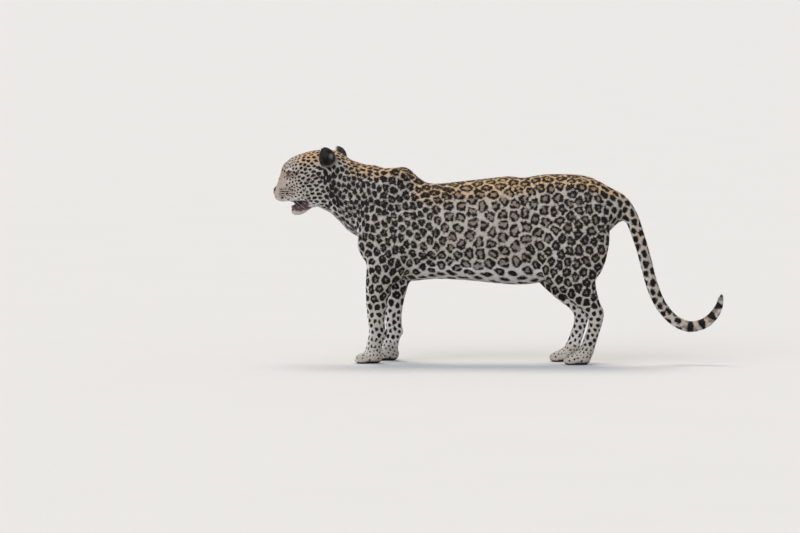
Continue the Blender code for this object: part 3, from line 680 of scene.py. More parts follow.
def markPlan(v):  # the kinds mixed by where each point lies
    part, p, n, local = v["part"], v["points"], v["normals"], v["local"]
    x, z, up, lx, lz = p[:, 0], p[:, 2], n[:, 2], local[:, 0], local[:, 2]
    head = clamped(part["head"] + part["ear"])
    limb = clamped(part["foreleg"] + part["hindleg"])
    trunk = clamped(part["torso"] + limb * ramp(0.29, 0.37, z))
    lower = limb * ramp(0.37, 0.29, z)
    top, low = ramp(0.35, 0.75, up), ramp(0.330, 0.290, z) * part["torso"]
    fore, rear = ramp(-0.14, -0.24, x), ramp(0.08, 0.20, x)
    middle = clamped(1 - fore - rear)
    side = trunk * (1 - top) * (1 - low)
    weights = {
        "face": head * ramp(0.045, 0.005, lx),
        "crown": head * ramp(0.005, 0.045, lx) * ramp(-0.012, 0.022, lz),
        "cheek": head * ramp(0.005, 0.045, lx) * ramp(0.022, -0.012, lz) * ramp(0.122, 0.100, lx),
        "nape": part["neck"] * ramp(0.3, 0.7, up),
        "neck": part["neck"] * ramp(0.7, 0.3, up) + head * ramp(0.100, 0.122, lx) * ramp(0.022, -0.012, lz),
        "withers": trunk * ramp(0.52, 0.58, z) * ramp(-0.05, -0.14, x),
        "shoulder": side * fore,
        "forearm": side * fore * ramp(0.38, 0.32, z) + lower * part["foreleg"] * ramp(0.16, 0.23, z),
        "shin": lower * ramp(0.22, 0.15, z),
        "back": trunk * top * (1 - fore) + trunk * top * fore * 0.5,
        "flank": side * middle,
        "belly": low * 2,
        "rump": side * rear * ramp(0.40, 0.46, z),
        "thigh": side * rear * ramp(0.46, 0.40, z) + lower * part["hindleg"] * ramp(0.18, 0.26, z),
        "seat": trunk * ramp(0.36, 0.42, x) * 3,
        "paw": part["paw"] * 2,
        "tail": part["tail"],
    }
    total = sum(weights.values()) + 1e-6
    plan = sum(w[:, None] * np.array(markKinds[kind]) for kind, w in weights.items()) / total[:, None]
    plan = np.where((total < 1e-3)[:, None], np.array(markKinds["flank"]), plan)
    plan[:, :4] *= 0.001
    upright = unit(np.array([0.15, 0, -1]) - n * dot(np.array([0.15, 0, -1]), n)[:, None])
    axis = unit(blend(v["lie"], upright, plan[:, 7]))
    return plan, axis


def scattered(v, count, density):  # points over the skin: the triangle of each, and its share of the corners
    weight = v["area"] * density[v["faces"]].mean(1)
    pick = np.searchsorted(np.cumsum(weight) / weight.sum(), chance.random(count)).clip(0, len(weight) - 1)
    a, b = chance.random((2, count))
    over = a + b > 1
    a, b = np.where(over, 1 - a, a), np.where(over, 1 - b, b)
    return pick, np.stack([1 - a - b, a, b], 1)


def at(field, v, pick, share):  # a field of the skin at scattered points
    corner = field[v["faces"][pick]]
    return (corner * (share[..., None] if corner.ndim > 2 else share)).sum(1)


def isFree(grid, cell, place, axis, spacing, stretch):  # no seed of the cells around stands too near
    (i, j, k), (x, y, z), (ax, ay, az) = cell, place, axis
    for di, dj, dk in neighbours:
        for sx, sy, sz, limit in grid.get((i + di, j + dj, k + dk), ()):
            dx, dy, dz = x - sx, y - sy, z - sz
            run = dx * ax + dy * ay + dz * az
            square = dx * dx + dy * dy + dz * dz - run * run
            if square * stretch + run * run / stretch < limit * spacing:
                return False
    return True


def seedsAllowed(v, place, pick, share):  # none on bare skin, the ears, the nose's bridge, lips and chin
    local = placed(place, headInverse)
    lx, lz = local[:, 0], local[:, 2]
    onHead = at(v["part"]["head"], v, pick, share) > 0.5
    bare = (at(v["bare"], v, pick, share) >= 0.3) | (at(v["part"]["ear"], v, pick, share) >= 0.4)
    muzzle = (lx < -0.018) & (lz < 0.012) & (lz > -0.098) & (lx + 0.8 * lz < -0.030)
    bridge = (np.abs(local[:, 1]) < 0.010) & (lx < -0.020)
    chin = (lz < -0.112) & (lx < 0.05)
    return ~bare & ~(onHead & ((eyeGap(place) < 0.0065) | muzzle | bridge | chin))


def growSeeds(v):
    pick, share = scattered(v, seedLooks["tries"], 1 / v["plan"][:, 0] ** 2)
    place, normal = at(v["points"], v, pick, share), unit(at(v["normals"], v, pick, share))
    plan, axis = at(v["plan"], v, pick, share), unit(at(v["axis"], v, pick, share))
    allowed = seedsAllowed(v, place, pick, share)
    grid, kept = {}, []
    rows = zip(place.tolist(), axis.tolist(), plan[:, 0].tolist(), plan[:, 5].tolist())
    for row, (spot, lie, spacing, stretch) in enumerate(rows):
        cell = tuple(int(value // seedLooks["cell"]) for value in spot)
        if allowed[row] and isFree(grid, cell, spot, lie, spacing, stretch):
            grid.setdefault(cell, []).append((*spot, spacing))
            kept.append(row)
    place, axis, across, plan = place[kept], axis[kept], np.cross(normal[kept], axis[kept]), plan[kept]
    print("markings:", len(kept), "seeds")
    for _ in range(seedLooks["moves"]):  # each seed moves towards the middle of the skin nearest to it
        tree = treeOf(place)
        nearest = np.array([tree.find(point)[1] for point in v["points"].tolist()])
        weight = np.bincount(nearest, v["share"], len(place))
        middle = [np.bincount(nearest, v["share"] * column, len(place)) for column in v["points"].T]
        middle = np.stack(middle, 1) / np.maximum(weight, 1e-12)[:, None]
        place = np.where((weight > 0)[:, None], place + seedLooks["move"] * (middle - place), place)
    return {"place": place, "axis": axis, "across": across, "plan": plan,
            "phase": chance.random((len(place), 6)) * 2 * math.pi, "tree": treeOf(place)}


def treeOf(points):
    tree = KDTree(len(points))
    for index, point in enumerate(points.tolist()):
        tree.insert(point, index)
    tree.balance()
    return tree


def marksAt(seeds, points, spacing):
    # how far inside a dark mark each point lies, in millimetres, and how filled the rosette is there
    moved = wander(points, np.clip(spacing * seedLooks["wander"], 0, seedLooks["wanderMost"]))
    near = np.array([[found[1] for found in seeds["tree"].find_n(point, 5)] for point in moved.tolist()])
    offset = moved[:, None] - seeds["place"][near]
    along = dot(offset, seeds["axis"][near])
    stretch = seeds["plan"][near, 5]
    apart = np.sqrt(np.clip(dot(offset, offset) - along**2, 0, None) * stretch + along**2 / stretch)
    order = np.argsort(apart, 1)
    rows = np.arange(len(points))
    first, second = apart[rows, order[:, 0]], apart[rows, order[:, 1]]
    seed = near[rows, order[:, 0]]
    offset = offset[rows, order[:, 0]]
    plan, phase = seeds["plan"][seed], seeds["phase"][seed]
    around = np.arctan2(dot(offset, seeds["across"][seed]), dot(offset, seeds["axis"][seed]))
    border = (second - first) / 2 - plan[:, 1]
    reach = plan[:, 2] * (1 + 0.10 * np.cos(2 * around + phase[:, 0])
                          + 0.09 * np.cos(3 * around + phase[:, 1]))
    soft = seedLooks["soft"]
    outer = -soft * np.logaddexp(-border / soft, -(reach - first) / soft)
    ring = plan[:, 3] * (1 + plan[:, 6] * (0.50 * np.cos(2 * around + phase[:, 2])
                                           + 0.55 * np.cos(3 * around + phase[:, 3])
                                           + 0.40 * np.cos(5 * around + phase[:, 4])))
    mark = np.minimum(outer, ring - outer)
    return mark * 1000, plan[:, 4] * ramp(-0.0005, 0.0015, outer)


faceLooks = {
    "rows": 5,                  # lines of whisker spots on each side of the muzzle
    "rowStart": (-0.057, -0.047),
    "rowStep": (0.0015, -0.0078),
    "spotStep": (0.0072, -0.0009),
    "spots": 7,
    "spotSize": 0.0021,
    "spotShape": (1.9, 0.75),   # how long and how high a spot is
    "eyeRim": 0.0036,           # its width
    "darkLines": [((-0.0205, 0.0235, -0.0075), (-0.0340, 0.0190, -0.0250), 0.0022),
                 ((0.0080, 0.0560, 0.0020), (0.0330, 0.0640, -0.0020), 0.0028),
                 ((-0.0800, 0.0190, -0.0508), (-0.0715, 0.0292, -0.0468), 0.0030)],
    "band": ((0.132, -0.030), (0.150, -0.110), 0.022),  # spots run together from the ear to the throat
    "bandMerge": 1.9,
    "earFoot": (0.120, 0.070, -0.006),
    "footReach": (0.042, 0.045, 0.040),
    "footMerge": 3.2,
    "lipSpot": ((0.028, -0.104), (0.013, 0.008)),
    "ringStart": 0.560,         # metres down the tail, where its spots become bands
    "ringPitch": 0.042,
    "ringWide": 0.0105,
    "tipStart": 0.770,
}


def whiskerSpots():  # x and z of each spot on the muzzle, and its size
    look, loose = faceLooks, np.random.default_rng(7)
    start, step, along = (np.array(look[name]) for name in ("rowStart", "rowStep", "spotStep"))
    spots = np.array([start + step * row + along * (spot + 0.5 * (row % 2))
                      for row in range(look["rows"]) for spot in range(look["spots"] - row % 2)])
    spots = spots + loose.normal(0, 0.0007, spots.shape)
    return spots, look["spotSize"] * (0.65 + 0.5 * loose.random(len(spots)))


def runTogether(local, points, mark):  # spots merge in a band from ear to throat and at the ear's foot
    look = faceLooks
    (x0, z0), (x1, z1), wide = look["band"]
    down = clamped((local[:, 2] - z0) / (z1 - z0))
    beside = np.hypot(local[:, 0] - x0 - (x1 - x0) * down, local[:, 2] - z0 - (z1 - z0) * down)
    long = points * np.array([1.5, 1.5, 0.6])
    streak = ramp(-1.6, 1.2, (wander(long, np.full(1, 2.4)) - long)[:, 0])  # uneven upright strokes
    mark = mark + look["bandMerge"] * streak * ramp(wide, wide * 0.5, beside) * (local[:, 2] < z0 + wide)
    return mark + look["footMerge"] * streak * bump(local, look["earFoot"], look["footReach"])


def headMarks(local, points, mark):  # whisker rows, dark lines, eye rims and lip spots
    look, flat = faceLooks, local[:, [0, 2]]
    muzzle = np.flatnonzero((local[:, 0] < 0.010) & (np.abs(local[:, 1]) > 0.012)
                            & (local[:, 2] < -0.030) & (local[:, 2] > -0.092))
    spots, size = whiskerSpots()
    gap = np.linalg.norm((flat[muzzle][:, None] - spots) / np.array(look["spotShape"]), axis=2)
    mark[muzzle] = np.maximum(mark[muzzle], (size - gap).max(1) * 1000)
    found = [mark, (look["eyeRim"] - eyeGap(points)) * 1000]
    for start, end, thick in look["darkLines"]:
        gap, t = fromLine(folded(local), start, end)
        found.append((thick * (1 - 0.6 * t) - gap) * 1000)
    (x, z), (wide, high) = look["lipSpot"]
    found.append((1 - np.hypot((flat[:, 0] - x) / wide, (flat[:, 1] - z) / high)) * high * 1000)
    return most(*found)


def extraMarks(points, normals, mark, part):  # the marks that no seed gives, in millimetres inside them
    look, local = faceLooks, placed(points, headInverse)
    mark = runTogether(local, points, mark)
    mark = np.where(part["head"] > 0.5, headMarks(local, points, mark.copy()), mark)
    run = tailRun(points)[0]
    wide = look["ringWide"] * (0.55 + 0.65 * ramp(-0.9, 0.4, dorsalOf(points, normals)))
    band = wide - np.abs((run - look["ringStart"]) % look["ringPitch"] - look["ringPitch"] / 2)
    band = np.where(run > look["tipStart"], 0.004, band)
    onTail = (part["tail"] > 0.5) & (run > look["ringStart"])
    return np.where(onTail, band * 1000, mark - 20 * ramp(0.35, 0.6, part["ear"]))


def earTones(v):  # black backs with a pale patch, and a pale hollow
    black, pale, inside = (np.zeros(len(v["points"])) for _ in range(3))
    for side in sides.values():
        q = placed(v["points"], earFrame(side).inverted())
        middle = np.array([0, 0, headLooks["earMiddle"]])
        facing = v["normals"] @ np.array(earFrame(side).to_3x3())
        inward = ramp(0.05, -0.45, dot(unit(q - middle), facing))
        mine = v["part"]["ear"] * (v["points"][:, 1] * side > 0.03 * side)
        hollow = inward * mine
        back = (1 - inward) * ramp(-0.010, -0.003, q[:, 0]) * mine
        patch = sizeOf((q[:, 1:] - np.array([0, 0.030])) / np.array([0.013, 0.011]))
        patch = ramp(1.0, 0.4, patch)
        black = np.maximum(black, back * (1 - 0.40 * patch * ramp(0.004, 0.014, q[:, 0])))
        pale = np.maximum(pale, np.maximum(hollow, mine * ramp(-0.002, -0.010, q[:, 0]) * 0.6))
        inside = np.maximum(inside, hollow)
    return black, pale, inside


def throatWhite(points, normals):  # 1 on the white hair down the middle of the throat and the breast
    facing = np.maximum(-normals[:, 0], -normals[:, 2])
    there = (points[:, 2] > 0.36) & (points[:, 0] < -0.30) & (placed(points, headInverse)[:, 0] > 0.04)
    return there * ramp(0.60, 0.18, np.abs(normals[:, 1])) * ramp(0.3, 0.6, facing)


def marksOf(points, normals, part, spacing):
    mark, fill = marksAt(seeds, points, spacing)
    white = throatWhite(points, normals)
    mark = extraMarks(points, normals, mark, part) - seedLooks["throatWhite"] * white
    return mark, fill * (1 - white)


# Fields of the skin: lie, tones and marks

body["part"]["head"] = clamped(body["part"]["head"])
body["lie"] = lieOf(body)
body.update(tonesOf(body))
body["plan"], body["axis"] = markPlan(body)
body["share"] = np.bincount(body["faces"].ravel(), np.repeat(body["area"], 3), len(body["points"]))
seeds = growSeeds(body)
body["earBlack"], earPale, body["earInside"] = earTones(body)
body["length"] = body["length"] + hairLengths["moreInEar"] * body["earInside"]
body["pale"] = np.maximum(body["pale"], earPale)
body["mark"], body["fill"] = marksOf(body["points"], body["soft"], body["part"], body["plan"][:, 0])
giveValues(skin.data, "coatMark", body["mark"], body["fill"], body["pale"])
even = np.full_like(body["goldAndSun"], 0.5)
# coatTone holds the gold, partly painted sunlight; a random tone; and how far along the hair, which the
# material turns into painted shade at the roots
giveValues(skin.data, "coatTone", body["goldAndSun"], even, even * 1.1)
giveValues(skin.data, "coatBare", body["bare"], body["brownAndShade"], body["earBlack"])
giveValues(skin.data, "coatLie", *body["lie"].T)
body["laid"] = layCharts(body)
giveLayout(skin.data, body["laid"])
print("markings done")


# Coat: short tufts of flat blades that overlap and lie along the body

coatLooks = {
    "tufts": 120000,
    "blades": 3,
    "spread": 0.24,             # radians that a blade may turn from the lie
    "lift": (0.17, 0.09),       # radians: its rise at the root, and half the range of chance
    "curl": 0.80,               # how much of the rise is gone at the tip
    "sink": 0.05,               # of its length, below the skin
    "fringe": 0.28,             # how much of the light's direction comes from the blade itself
    "patch": 0.0026,            # of the skin's layout, across a tuft
    "readAt": (0.1, 0.55, 0.95),  # of its length: where the marks are read
    "foot": 0.55,               # of its width, at the root
    "calm": 0.45,               # how much flatter the face's hair lies
    "earLift": 0.34,            # more rise inside the ears
    "faceMore": 0.95,           # denser and narrower on the face
    "faceNarrow": 0.28,
    "noseClear": 0.016,         # no tufts this near to the middle of the nose
}
bladeSteps = (0.0, 0.45, 1.0)
bladeCorners = np.array([(0, 3, 1), (0, 2, 3), (2, 4, 3)])
coatKinds = {
    # tufts a square metre beside the others, millimetres wide
    "body": (1.0, 1.8),
    "neck": (1.15, 1.7),
    "head": (2.9, 1.0),
    "ear": (2.6, 1.0),
    "foreleg": (1.4, 1.4),
    "hindleg": (1.35, 1.5),
    "paw": (2.6, 1.0),
    "tail": (1.25, 1.7),
}


def coatPlan(v):  # how dense the tufts stand and how wide a blade is, at each point
    look, part, points = coatLooks, v["part"], v["points"]
    density, width = (np.full(len(points), value) for value in coatKinds["body"])
    for kind in ("neck", "hindleg", "foreleg", "paw", "tail", "head", "ear"):
        share = part[kind]
        if "leg" in kind:
            share = share * ramp(0.50, 0.32, points[:, 2])
        density = blend(density, coatKinds[kind][0], share)
        width = blend(width, coatKinds[kind][1], share)
    face = part["head"] * ramp(0.06, -0.03, v["local"][:, 0])
    density, width = density * (1 + look["faceMore"] * face), width * (1 - look["faceNarrow"] * face)
    sole = ramp(0.004, 0.0015, points[:, 2]) * (v["normals"][:, 2] < -0.5)
    lids = ramp(0.0042, 0.0030, eyeGap(points)) * part["head"]
    nose = 1.0 * (sizeOf(points - np.array(middleOf("nose"))) < look["noseClear"])
    density *= 1 - clamped(most(sole, lids, v["bare"] * 1.5, nose))
    return density, width * 0.001


def growCoat(v):
    look = coatLooks
    density, width = coatPlan(v)
    pick, share = scattered(v, look["tufts"], density)

    def get(field):
        return at(field, v, pick, share)

    root = get(v["points"])
    normal, lie, soft = (unit(get(v[name])) for name in ("normals", "lie", "soft"))
    part = {name: get(v["part"][name]) for name in ("head", "tail", "ear")}
    length, wide, local = get(v["length"]), get(width), get(v["local"])
    spacing = get(v["plan"][:, 0])
    marks = [marksOf(root + lie * (length * t)[:, None], soft, part, spacing) for t in look["readAt"]]
    mark, fill = (np.stack([pair[i] for pair in marks], 1) for i in (0, 1))
    laid = (v["laid"][pick] * share[..., None]).sum(1)
    count, blades = len(pick), look["blades"]
    print("coat:", count, "tufts")

    tuftRandom = chance.random(count)
    every = np.repeat(np.arange(count), blades)
    total = len(every)
    fan = (np.tile(np.arange(blades), count) - (blades - 1) / 2) / max(blades - 1, 1)
    turn = fan * look["spread"] * 1.5 + chance.normal(0, look["spread"] * 0.4, total)
    lift = look["lift"][0] + look["lift"][1] * (chance.random(total) * 2 - 1)
    calm = (part["head"] * ramp(0.03, -0.03, local[:, 0]))[every]  # the face's hair is more even
    lift = lift * (1 - look["calm"] * calm) + look["earLift"] * get(v["earInside"])[every]
    n, l = normal[every], lie[every]
    across = np.cross(n, l)
    way = unit(l * np.cos(turn)[:, None] + across * np.sin(turn)[:, None])
    across = np.cross(n, way)
    size = length[every] * (0.72 + 0.5 * chance.random(total))
    w = wide[every] * (0.75 + 0.5 * chance.random(total))
    base = root[every] + across * (fan * w * 1.1)[:, None] - n * (size * look["sink"])[:, None]
    steps = []
    for t in bladeSteps:  # the rise is steepest at the root
        rise = np.tan(lift) * (t - look["curl"] * 0.5 * t * t)
        steps.append(base + way * (size * t)[:, None] + n * (size * rise)[:, None])
    half = across * (w / 2)[:, None]
    points = np.stack([steps[0] - half * look["foot"], steps[0] + half * look["foot"],
                       steps[1] - half, steps[1] + half, steps[2]], 1)
    own = np.cross(points[:, 3] - points[:, 2], points[:, 4] - points[:, 2])
    own = unit(own * np.sign(dot(own, n))[:, None])
    patch = np.array([(-0.5, -0.5), (0.5, -0.5), (-0.5, 0.0), (0.5, 0.0), (0.0, 0.5)]) * look["patch"]
    tones = {name: get(v[name])[every] for name in ("pale", "goldAndSun", "bare", "brownAndShade", "earBlack")}
    shade = clamped(tuftRandom[every] * 0.6 + chance.random(total) * 0.4)
    right = np.where(part["head"] > 0.5, local[:, 1], root[:, 1])[every] > 0
    return {"points": points, "glow": unit(n * (1 - look["fringe"]) + own * look["fringe"]),
            "uv": laid[every][:, None] + patch, "owner": v["owned"][v["faces"][pick, 0]][every],
            "right": right, "mark": mark[every], "fill": fill[every],
            "random": blend(shade, 0.25 + 0.5 * shade, calm), "lie": l, **tones}


def coatPiece(name, grown, chosen):
    count = len(chosen)

    def spread(values):  # one value for the five points of a blade
        return np.repeat(values[chosen], 5, axis=0)

    def stations(values):  # one for its root, one for its middle and one for its tip
        return values[chosen][:, [0, 0, 1, 1, 2]].ravel()

    faces = (np.arange(count)[:, None, None] * 5 + bladeCorners).reshape(-1, 3)
    mesh = meshFrom(name, grown["points"][chosen].reshape(-1, 3), faces)
    piece = shown(name, mesh, coatMaterial)
    giveValues(mesh, "coatMark", stations(grown["mark"]), stations(grown["fill"]), spread(grown["pale"]))
    giveValues(mesh, "coatLie", *spread(grown["lie"]).T)
    # the third value runs from root to tip, and the material darkens the roots with it: painted shade
    giveValues(mesh, "coatTone", spread(grown["goldAndSun"]), spread(grown["random"]),
               np.tile(np.array(bladeSteps)[[0, 0, 1, 1, 2]], count))
    giveValues(mesh, "coatBare", spread(grown["bare"]), spread(grown["brownAndShade"]), spread(grown["earBlack"]))
    giveLayout(mesh, grown["uv"][chosen][:, bladeCorners].reshape(-1, 2))
    mesh.normals_split_custom_set_from_vertices(spread(grown["glow"]).tolist())
    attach(piece, "root")
    print(name + ":", len(mesh.polygons), "triangles")
    return piece


def coatPieces(grown):
    right, named = grown["right"], np.array(partNames)[grown["owner"]]
    for word in ("head", "ear", "neck", "paw", "foreleg", "hindleg", "torso", "tail"):
        halves = {"_left": ~right, "_right": right} if word in ("head", "torso") else {"": True}
        for ending, half in halves.items():
            name = f"{word.replace('torso', 'flank')}_coat{ending}"
            piece = coatPiece(name, grown, np.flatnonzero((named == word) & half))


# Materials: one group gives the coat its colours on the skin and on the tufts alike

class Wires:  # short ways to add nodes to a tree and join them
    def __init__(self, tree):
        self.tree = tree

    def add(self, kind, **inputs):
        node = self.tree.nodes.new("ShaderNode" + kind)
        for name, value in inputs.items():
            self.put(node.inputs[name.replace("_", " ")], value)
        return node

    def put(self, socket, value):
        if isinstance(value, bpy.types.NodeSocket):
            self.tree.links.new(value, socket)
        elif isinstance(value, tuple) and len(value) == 3 and socket.type == "RGBA":
            socket.default_value = (*value, 1)
        else:
            socket.default_value = value

    def maths(self, operation, *values):
        node = self.add("Math")
        node.operation = operation
        for socket, value in zip(node.inputs, values):
            self.put(socket, value)
        return node.outputs[0]

    def plus(self, *values):
        return self.maths("ADD", *values)

    def minus(self, *values):
        return self.maths("SUBTRACT", *values)

    def times(self, *values):
        return self.maths("MULTIPLY", *values)

    def aim(self, operation, *values):
        node = self.add("VectorMath")
        node.operation = operation
        self.put(node.inputs[0], values[0])
        self.put(node.inputs["Scale" if operation == "SCALE" else 1], values[1])
        return node.outputs["Value" if operation == "DOT_PRODUCT" else "Vector"]

    def mix(self, share, a, b, kind="MIX"):
        node = self.add("Mix")
        node.data_type, node.blend_type = "RGBA", kind
        self.put(node.inputs[0], share)
        self.put(node.inputs[6], a)
        self.put(node.inputs[7], b)
        return node.outputs[2]

    def between(self, value, low, high, start=0.0, end=1.0):
        node = self.add("MapRange", Value=value, From_Min=low, From_Max=high, To_Min=start, To_Max=end)
        node.interpolation_type = "SMOOTHSTEP"
        return node.outputs["Result"]

    def noise(self, place, scale, detail=2.0, roughness=0.5):
        node = self.add("TexNoise", Vector=place, Scale=scale, Detail=detail, Roughness=roughness)
        return node.outputs["Fac"]

    def shared(self, group, **values):  # a node of a shared group, with its inputs set
        node = self.tree.nodes.new("ShaderNodeGroup")
        node.node_tree = group
        for title, value in values.items():
            self.put(node.inputs[title], value)
        return node.outputs

    def field(self, name):
        node = self.add("Attribute")
        node.attribute_name = name
        split = self.add("SeparateXYZ", Vector=node.outputs["Vector"])
        return (*split.outputs, node.outputs["Vector"])


def newGroup(name, inputs, outputs):
    group = bpy.data.node_groups.new(name, "ShaderNodeTree")
    kinds = {"colour": "NodeSocketColor", "value": "NodeSocketFloat"}
    for title, kind, value in inputs:
        socket = group.interface.new_socket(title, in_out="INPUT", socket_type=kinds[kind])
        socket.default_value = (*value, 1) if kind == "colour" else value
    for title, kind in outputs:
        group.interface.new_socket(title, in_out="OUTPUT", socket_type=kinds[kind])
    given, result = group.nodes.new("NodeGroupInput"), group.nodes.new("NodeGroupOutput")
    return group, given.outputs, result.inputs, Wires(group)


def newMaterial(name, **plain):  # the plain values stand on the shader's own sockets
    made = bpy.data.materials.new(name)
    made.use_nodes = True
    shader = made.node_tree.nodes["Principled BSDF"].inputs
    for title, value in plain.items():
        shader[title.replace("_", " ")].default_value = value
    return made, shader, Wires(made.node_tree)


coatColours = {  # linear red, green and blue
    "Ground": (0.470, 0.425, 0.375),
    # the coat's own warm tone, also laid over the back and crown as painted sunlight
    "Gold": (0.640, 0.420, 0.225),
    "Pale": (0.720, 0.690, 0.660),
    "Mark": (0.0072, 0.0062, 0.0060),
    "Filling": (0.130, 0.090, 0.063),
    "Golden filling": (0.30, 0.155, 0.062),
    "Brown": (0.190, 0.105, 0.070),
    "Bare": (0.016, 0.011, 0.010),
    "Lip": (0.085, 0.046, 0.043),
}


def coatGroup():
    group, given, result, w = newGroup(
        "coatColour",
        [(name, "colour", value) for name, value in coatColours.items()]
        + [("Edge", "value", 0.55), ("Ragged", "value", 1.3)],
        [("Colour", "colour"), ("Strands", "value"), ("Bareness", "value")])
    place = w.add("TexCoord").outputs["Object"]
    mark, fill, pale, _ = w.field("coatMark")
    goldAndSun, random, along, _ = w.field("coatTone")
    bare, brownAndShade, black, _ = w.field("coatBare")
    lie = w.field("coatLie")[3]
    stretched = w.aim("SUBTRACT", place, w.aim("SCALE", lie, w.times(w.aim("DOT_PRODUCT", place, lie), 0.88)))
    strands = w.noise(stretched, coatNoise["strands"], 2.0, 0.55)  # fine lines that run with the hair
    patches = w.noise(place, coatNoise["patches"], 3.0, 0.55)
    clouds = w.noise(place, coatNoise["clouds"], 2.0, 0.5)

    # the gold over the back and crown is partly painted sunlight
    golden = w.between(w.plus(goldAndSun, w.times(w.minus(clouds, 0.5), 0.5)), 0.0, 1.0)
    ground = w.mix(golden, given["Ground"], given["Gold"])
    ground = w.mix(brownAndShade, ground, given["Brown"])
    ground = w.mix(pale, ground, given["Pale"])
    filling = w.mix(w.times(goldAndSun, 0.6), given["Filling"], given["Golden filling"])
    filled = w.mix(w.times(fill, w.between(patches, 0.25, 0.7, 0.65, 1.0)), ground, filling)
    shift = w.times(given["Ragged"], w.minus(w.plus(strands, random), 1.0))
    shift = w.plus(shift, w.times(w.minus(patches, 0.5), 1.2))
    dark = w.between(w.plus(mark, shift), w.times(given["Edge"], -1.0), given["Edge"])
    dark = w.times(dark, w.between(random, 0.0, 1.0, 1.0, 0.975))
    dark = w.maths("MAXIMUM", dark, w.times(black, w.between(patches, 0.35, 0.62, 1.0, 0.95)))
    colour = w.mix(dark, filled, given["Mark"])
    colour = w.mix(bare, colour, w.mix(brownAndShade, given["Bare"], given["Lip"]))
    bright = w.times(w.between(strands, 0.25, 0.75, 0.84, 1.14), w.between(random, 0.0, 1.0, 0.86, 1.12))
    # roots darker than tips: painted shade among the hairs
    bright = w.times(bright, w.between(along, 0.0, 0.7, 0.80, 1.04))
    bright = w.times(bright, w.between(patches, 0.2, 0.8, 0.90, 1.08))
    bright = w.add("CombineColor", Red=bright, Green=bright, Blue=bright).outputs[0]
    w.put(result["Colour"], w.mix(1.0, colour, bright, "MULTIPLY"))
    w.put(result["Strands"], strands)
    w.put(result["Bareness"], bare)
    return group


coatNoise = {  # waves to a metre
    "strands": 900.0,
    "patches": 38.0,
    "clouds": 9.0,
}
coatFinishes = {
    # how soft and how ragged the marks' edges are in millimetres, and the strands' height in metres
    "coat_skin": (0.45, 1.1, 0.0009),
    "coat_hair": (0.60, 1.5, 0.0),
}


def coatFinish(name, group):
    made, shader, w = newMaterial(name, Specular_IOR_Level=0.10)
    edge, ragged, height = coatFinishes[name]
    given = w.shared(group, Edge=edge, Ragged=ragged)
    w.put(shader["Base Color"], given["Colour"])
    rough = w.between(given["Strands"], 0.2, 0.8, 0.66, 0.50)
    w.put(shader["Roughness"], w.minus(rough, w.times(given["Bareness"], 0.16)))
    if height:
        bumps = w.add("Bump", Strength=0.7, Distance=height, Height=given["Strands"])
        w.put(shader["Normal"], bumps.outputs[0])
    return made


coatShared = coatGroup()
skin.data.materials.append(coatFinish("coat_skin", coatShared))
coatMaterial = coatFinish("coat_hair", coatShared)
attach(skin, "root")
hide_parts(*[name for name in sorted(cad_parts) if not name.startswith(("eye", "nose"))])
coatPieces(growCoat(body))


# Eyes: a glassy ball with a raised cornea, an amber iris and a round pupil

eyeLooks = {
    "cornea": 0.0011,           # how far it stands off the ball
    "corneaWide": 0.62,         # radians from the middle
    "iris": 0.74,               # radians
    "pupil": 0.24,
    "irisInner": (0.120, 0.066, 0.018),
    "irisOuter": (0.050, 0.032, 0.012),
    "rim": (0.010, 0.007, 0.005),
    "fibres": (0.170, 0.105, 0.035),
    "white": (0.075, 0.045, 0.034),
    "corner": (0.05, 0.030, 0.024),
    "black": (0.003, 0.003, 0.003),
    "rings": 40,
    "turns": 48,
}


def eyeMaterial():
    look = eyeLooks
    made, shader, w = newMaterial("eye_glass", Roughness=0.35, Specular_IOR_Level=0.05, Coat_Weight=0.8,
                                  Coat_IOR=1.30, Coat_Roughness=0.02)
    across, up, angle, _ = w.field("eyeDisc")
    spoke = w.maths("ARCTAN2", up, across)
    fibres = w.add("CombineXYZ", X=w.times(w.maths("COSINE", spoke), 9.0),
                   Y=w.times(w.maths("SINE", spoke), 9.0), Z=w.times(angle, 1.5)).outputs[0]
    iris, pupil = look["iris"], look["pupil"]
    ball = w.mix(w.between(angle, pupil, iris), look["irisInner"], look["irisOuter"])
    ball = w.mix(w.between(w.noise(fibres, 2.2, 3.0, 0.6), 0.35, 0.7), ball, look["fibres"])
    for low, high, name in ((iris * 0.84, iris, "rim"), (iris * 0.98, iris * 1.10, "white"),
                            (iris * 1.15, iris * 1.55, "corner"), (pupil * 1.12, pupil * 0.94, "black")):
        ball = w.mix(w.between(angle, low, high), ball, look[name])
    w.put(shader["Base Color"], ball)
    return made


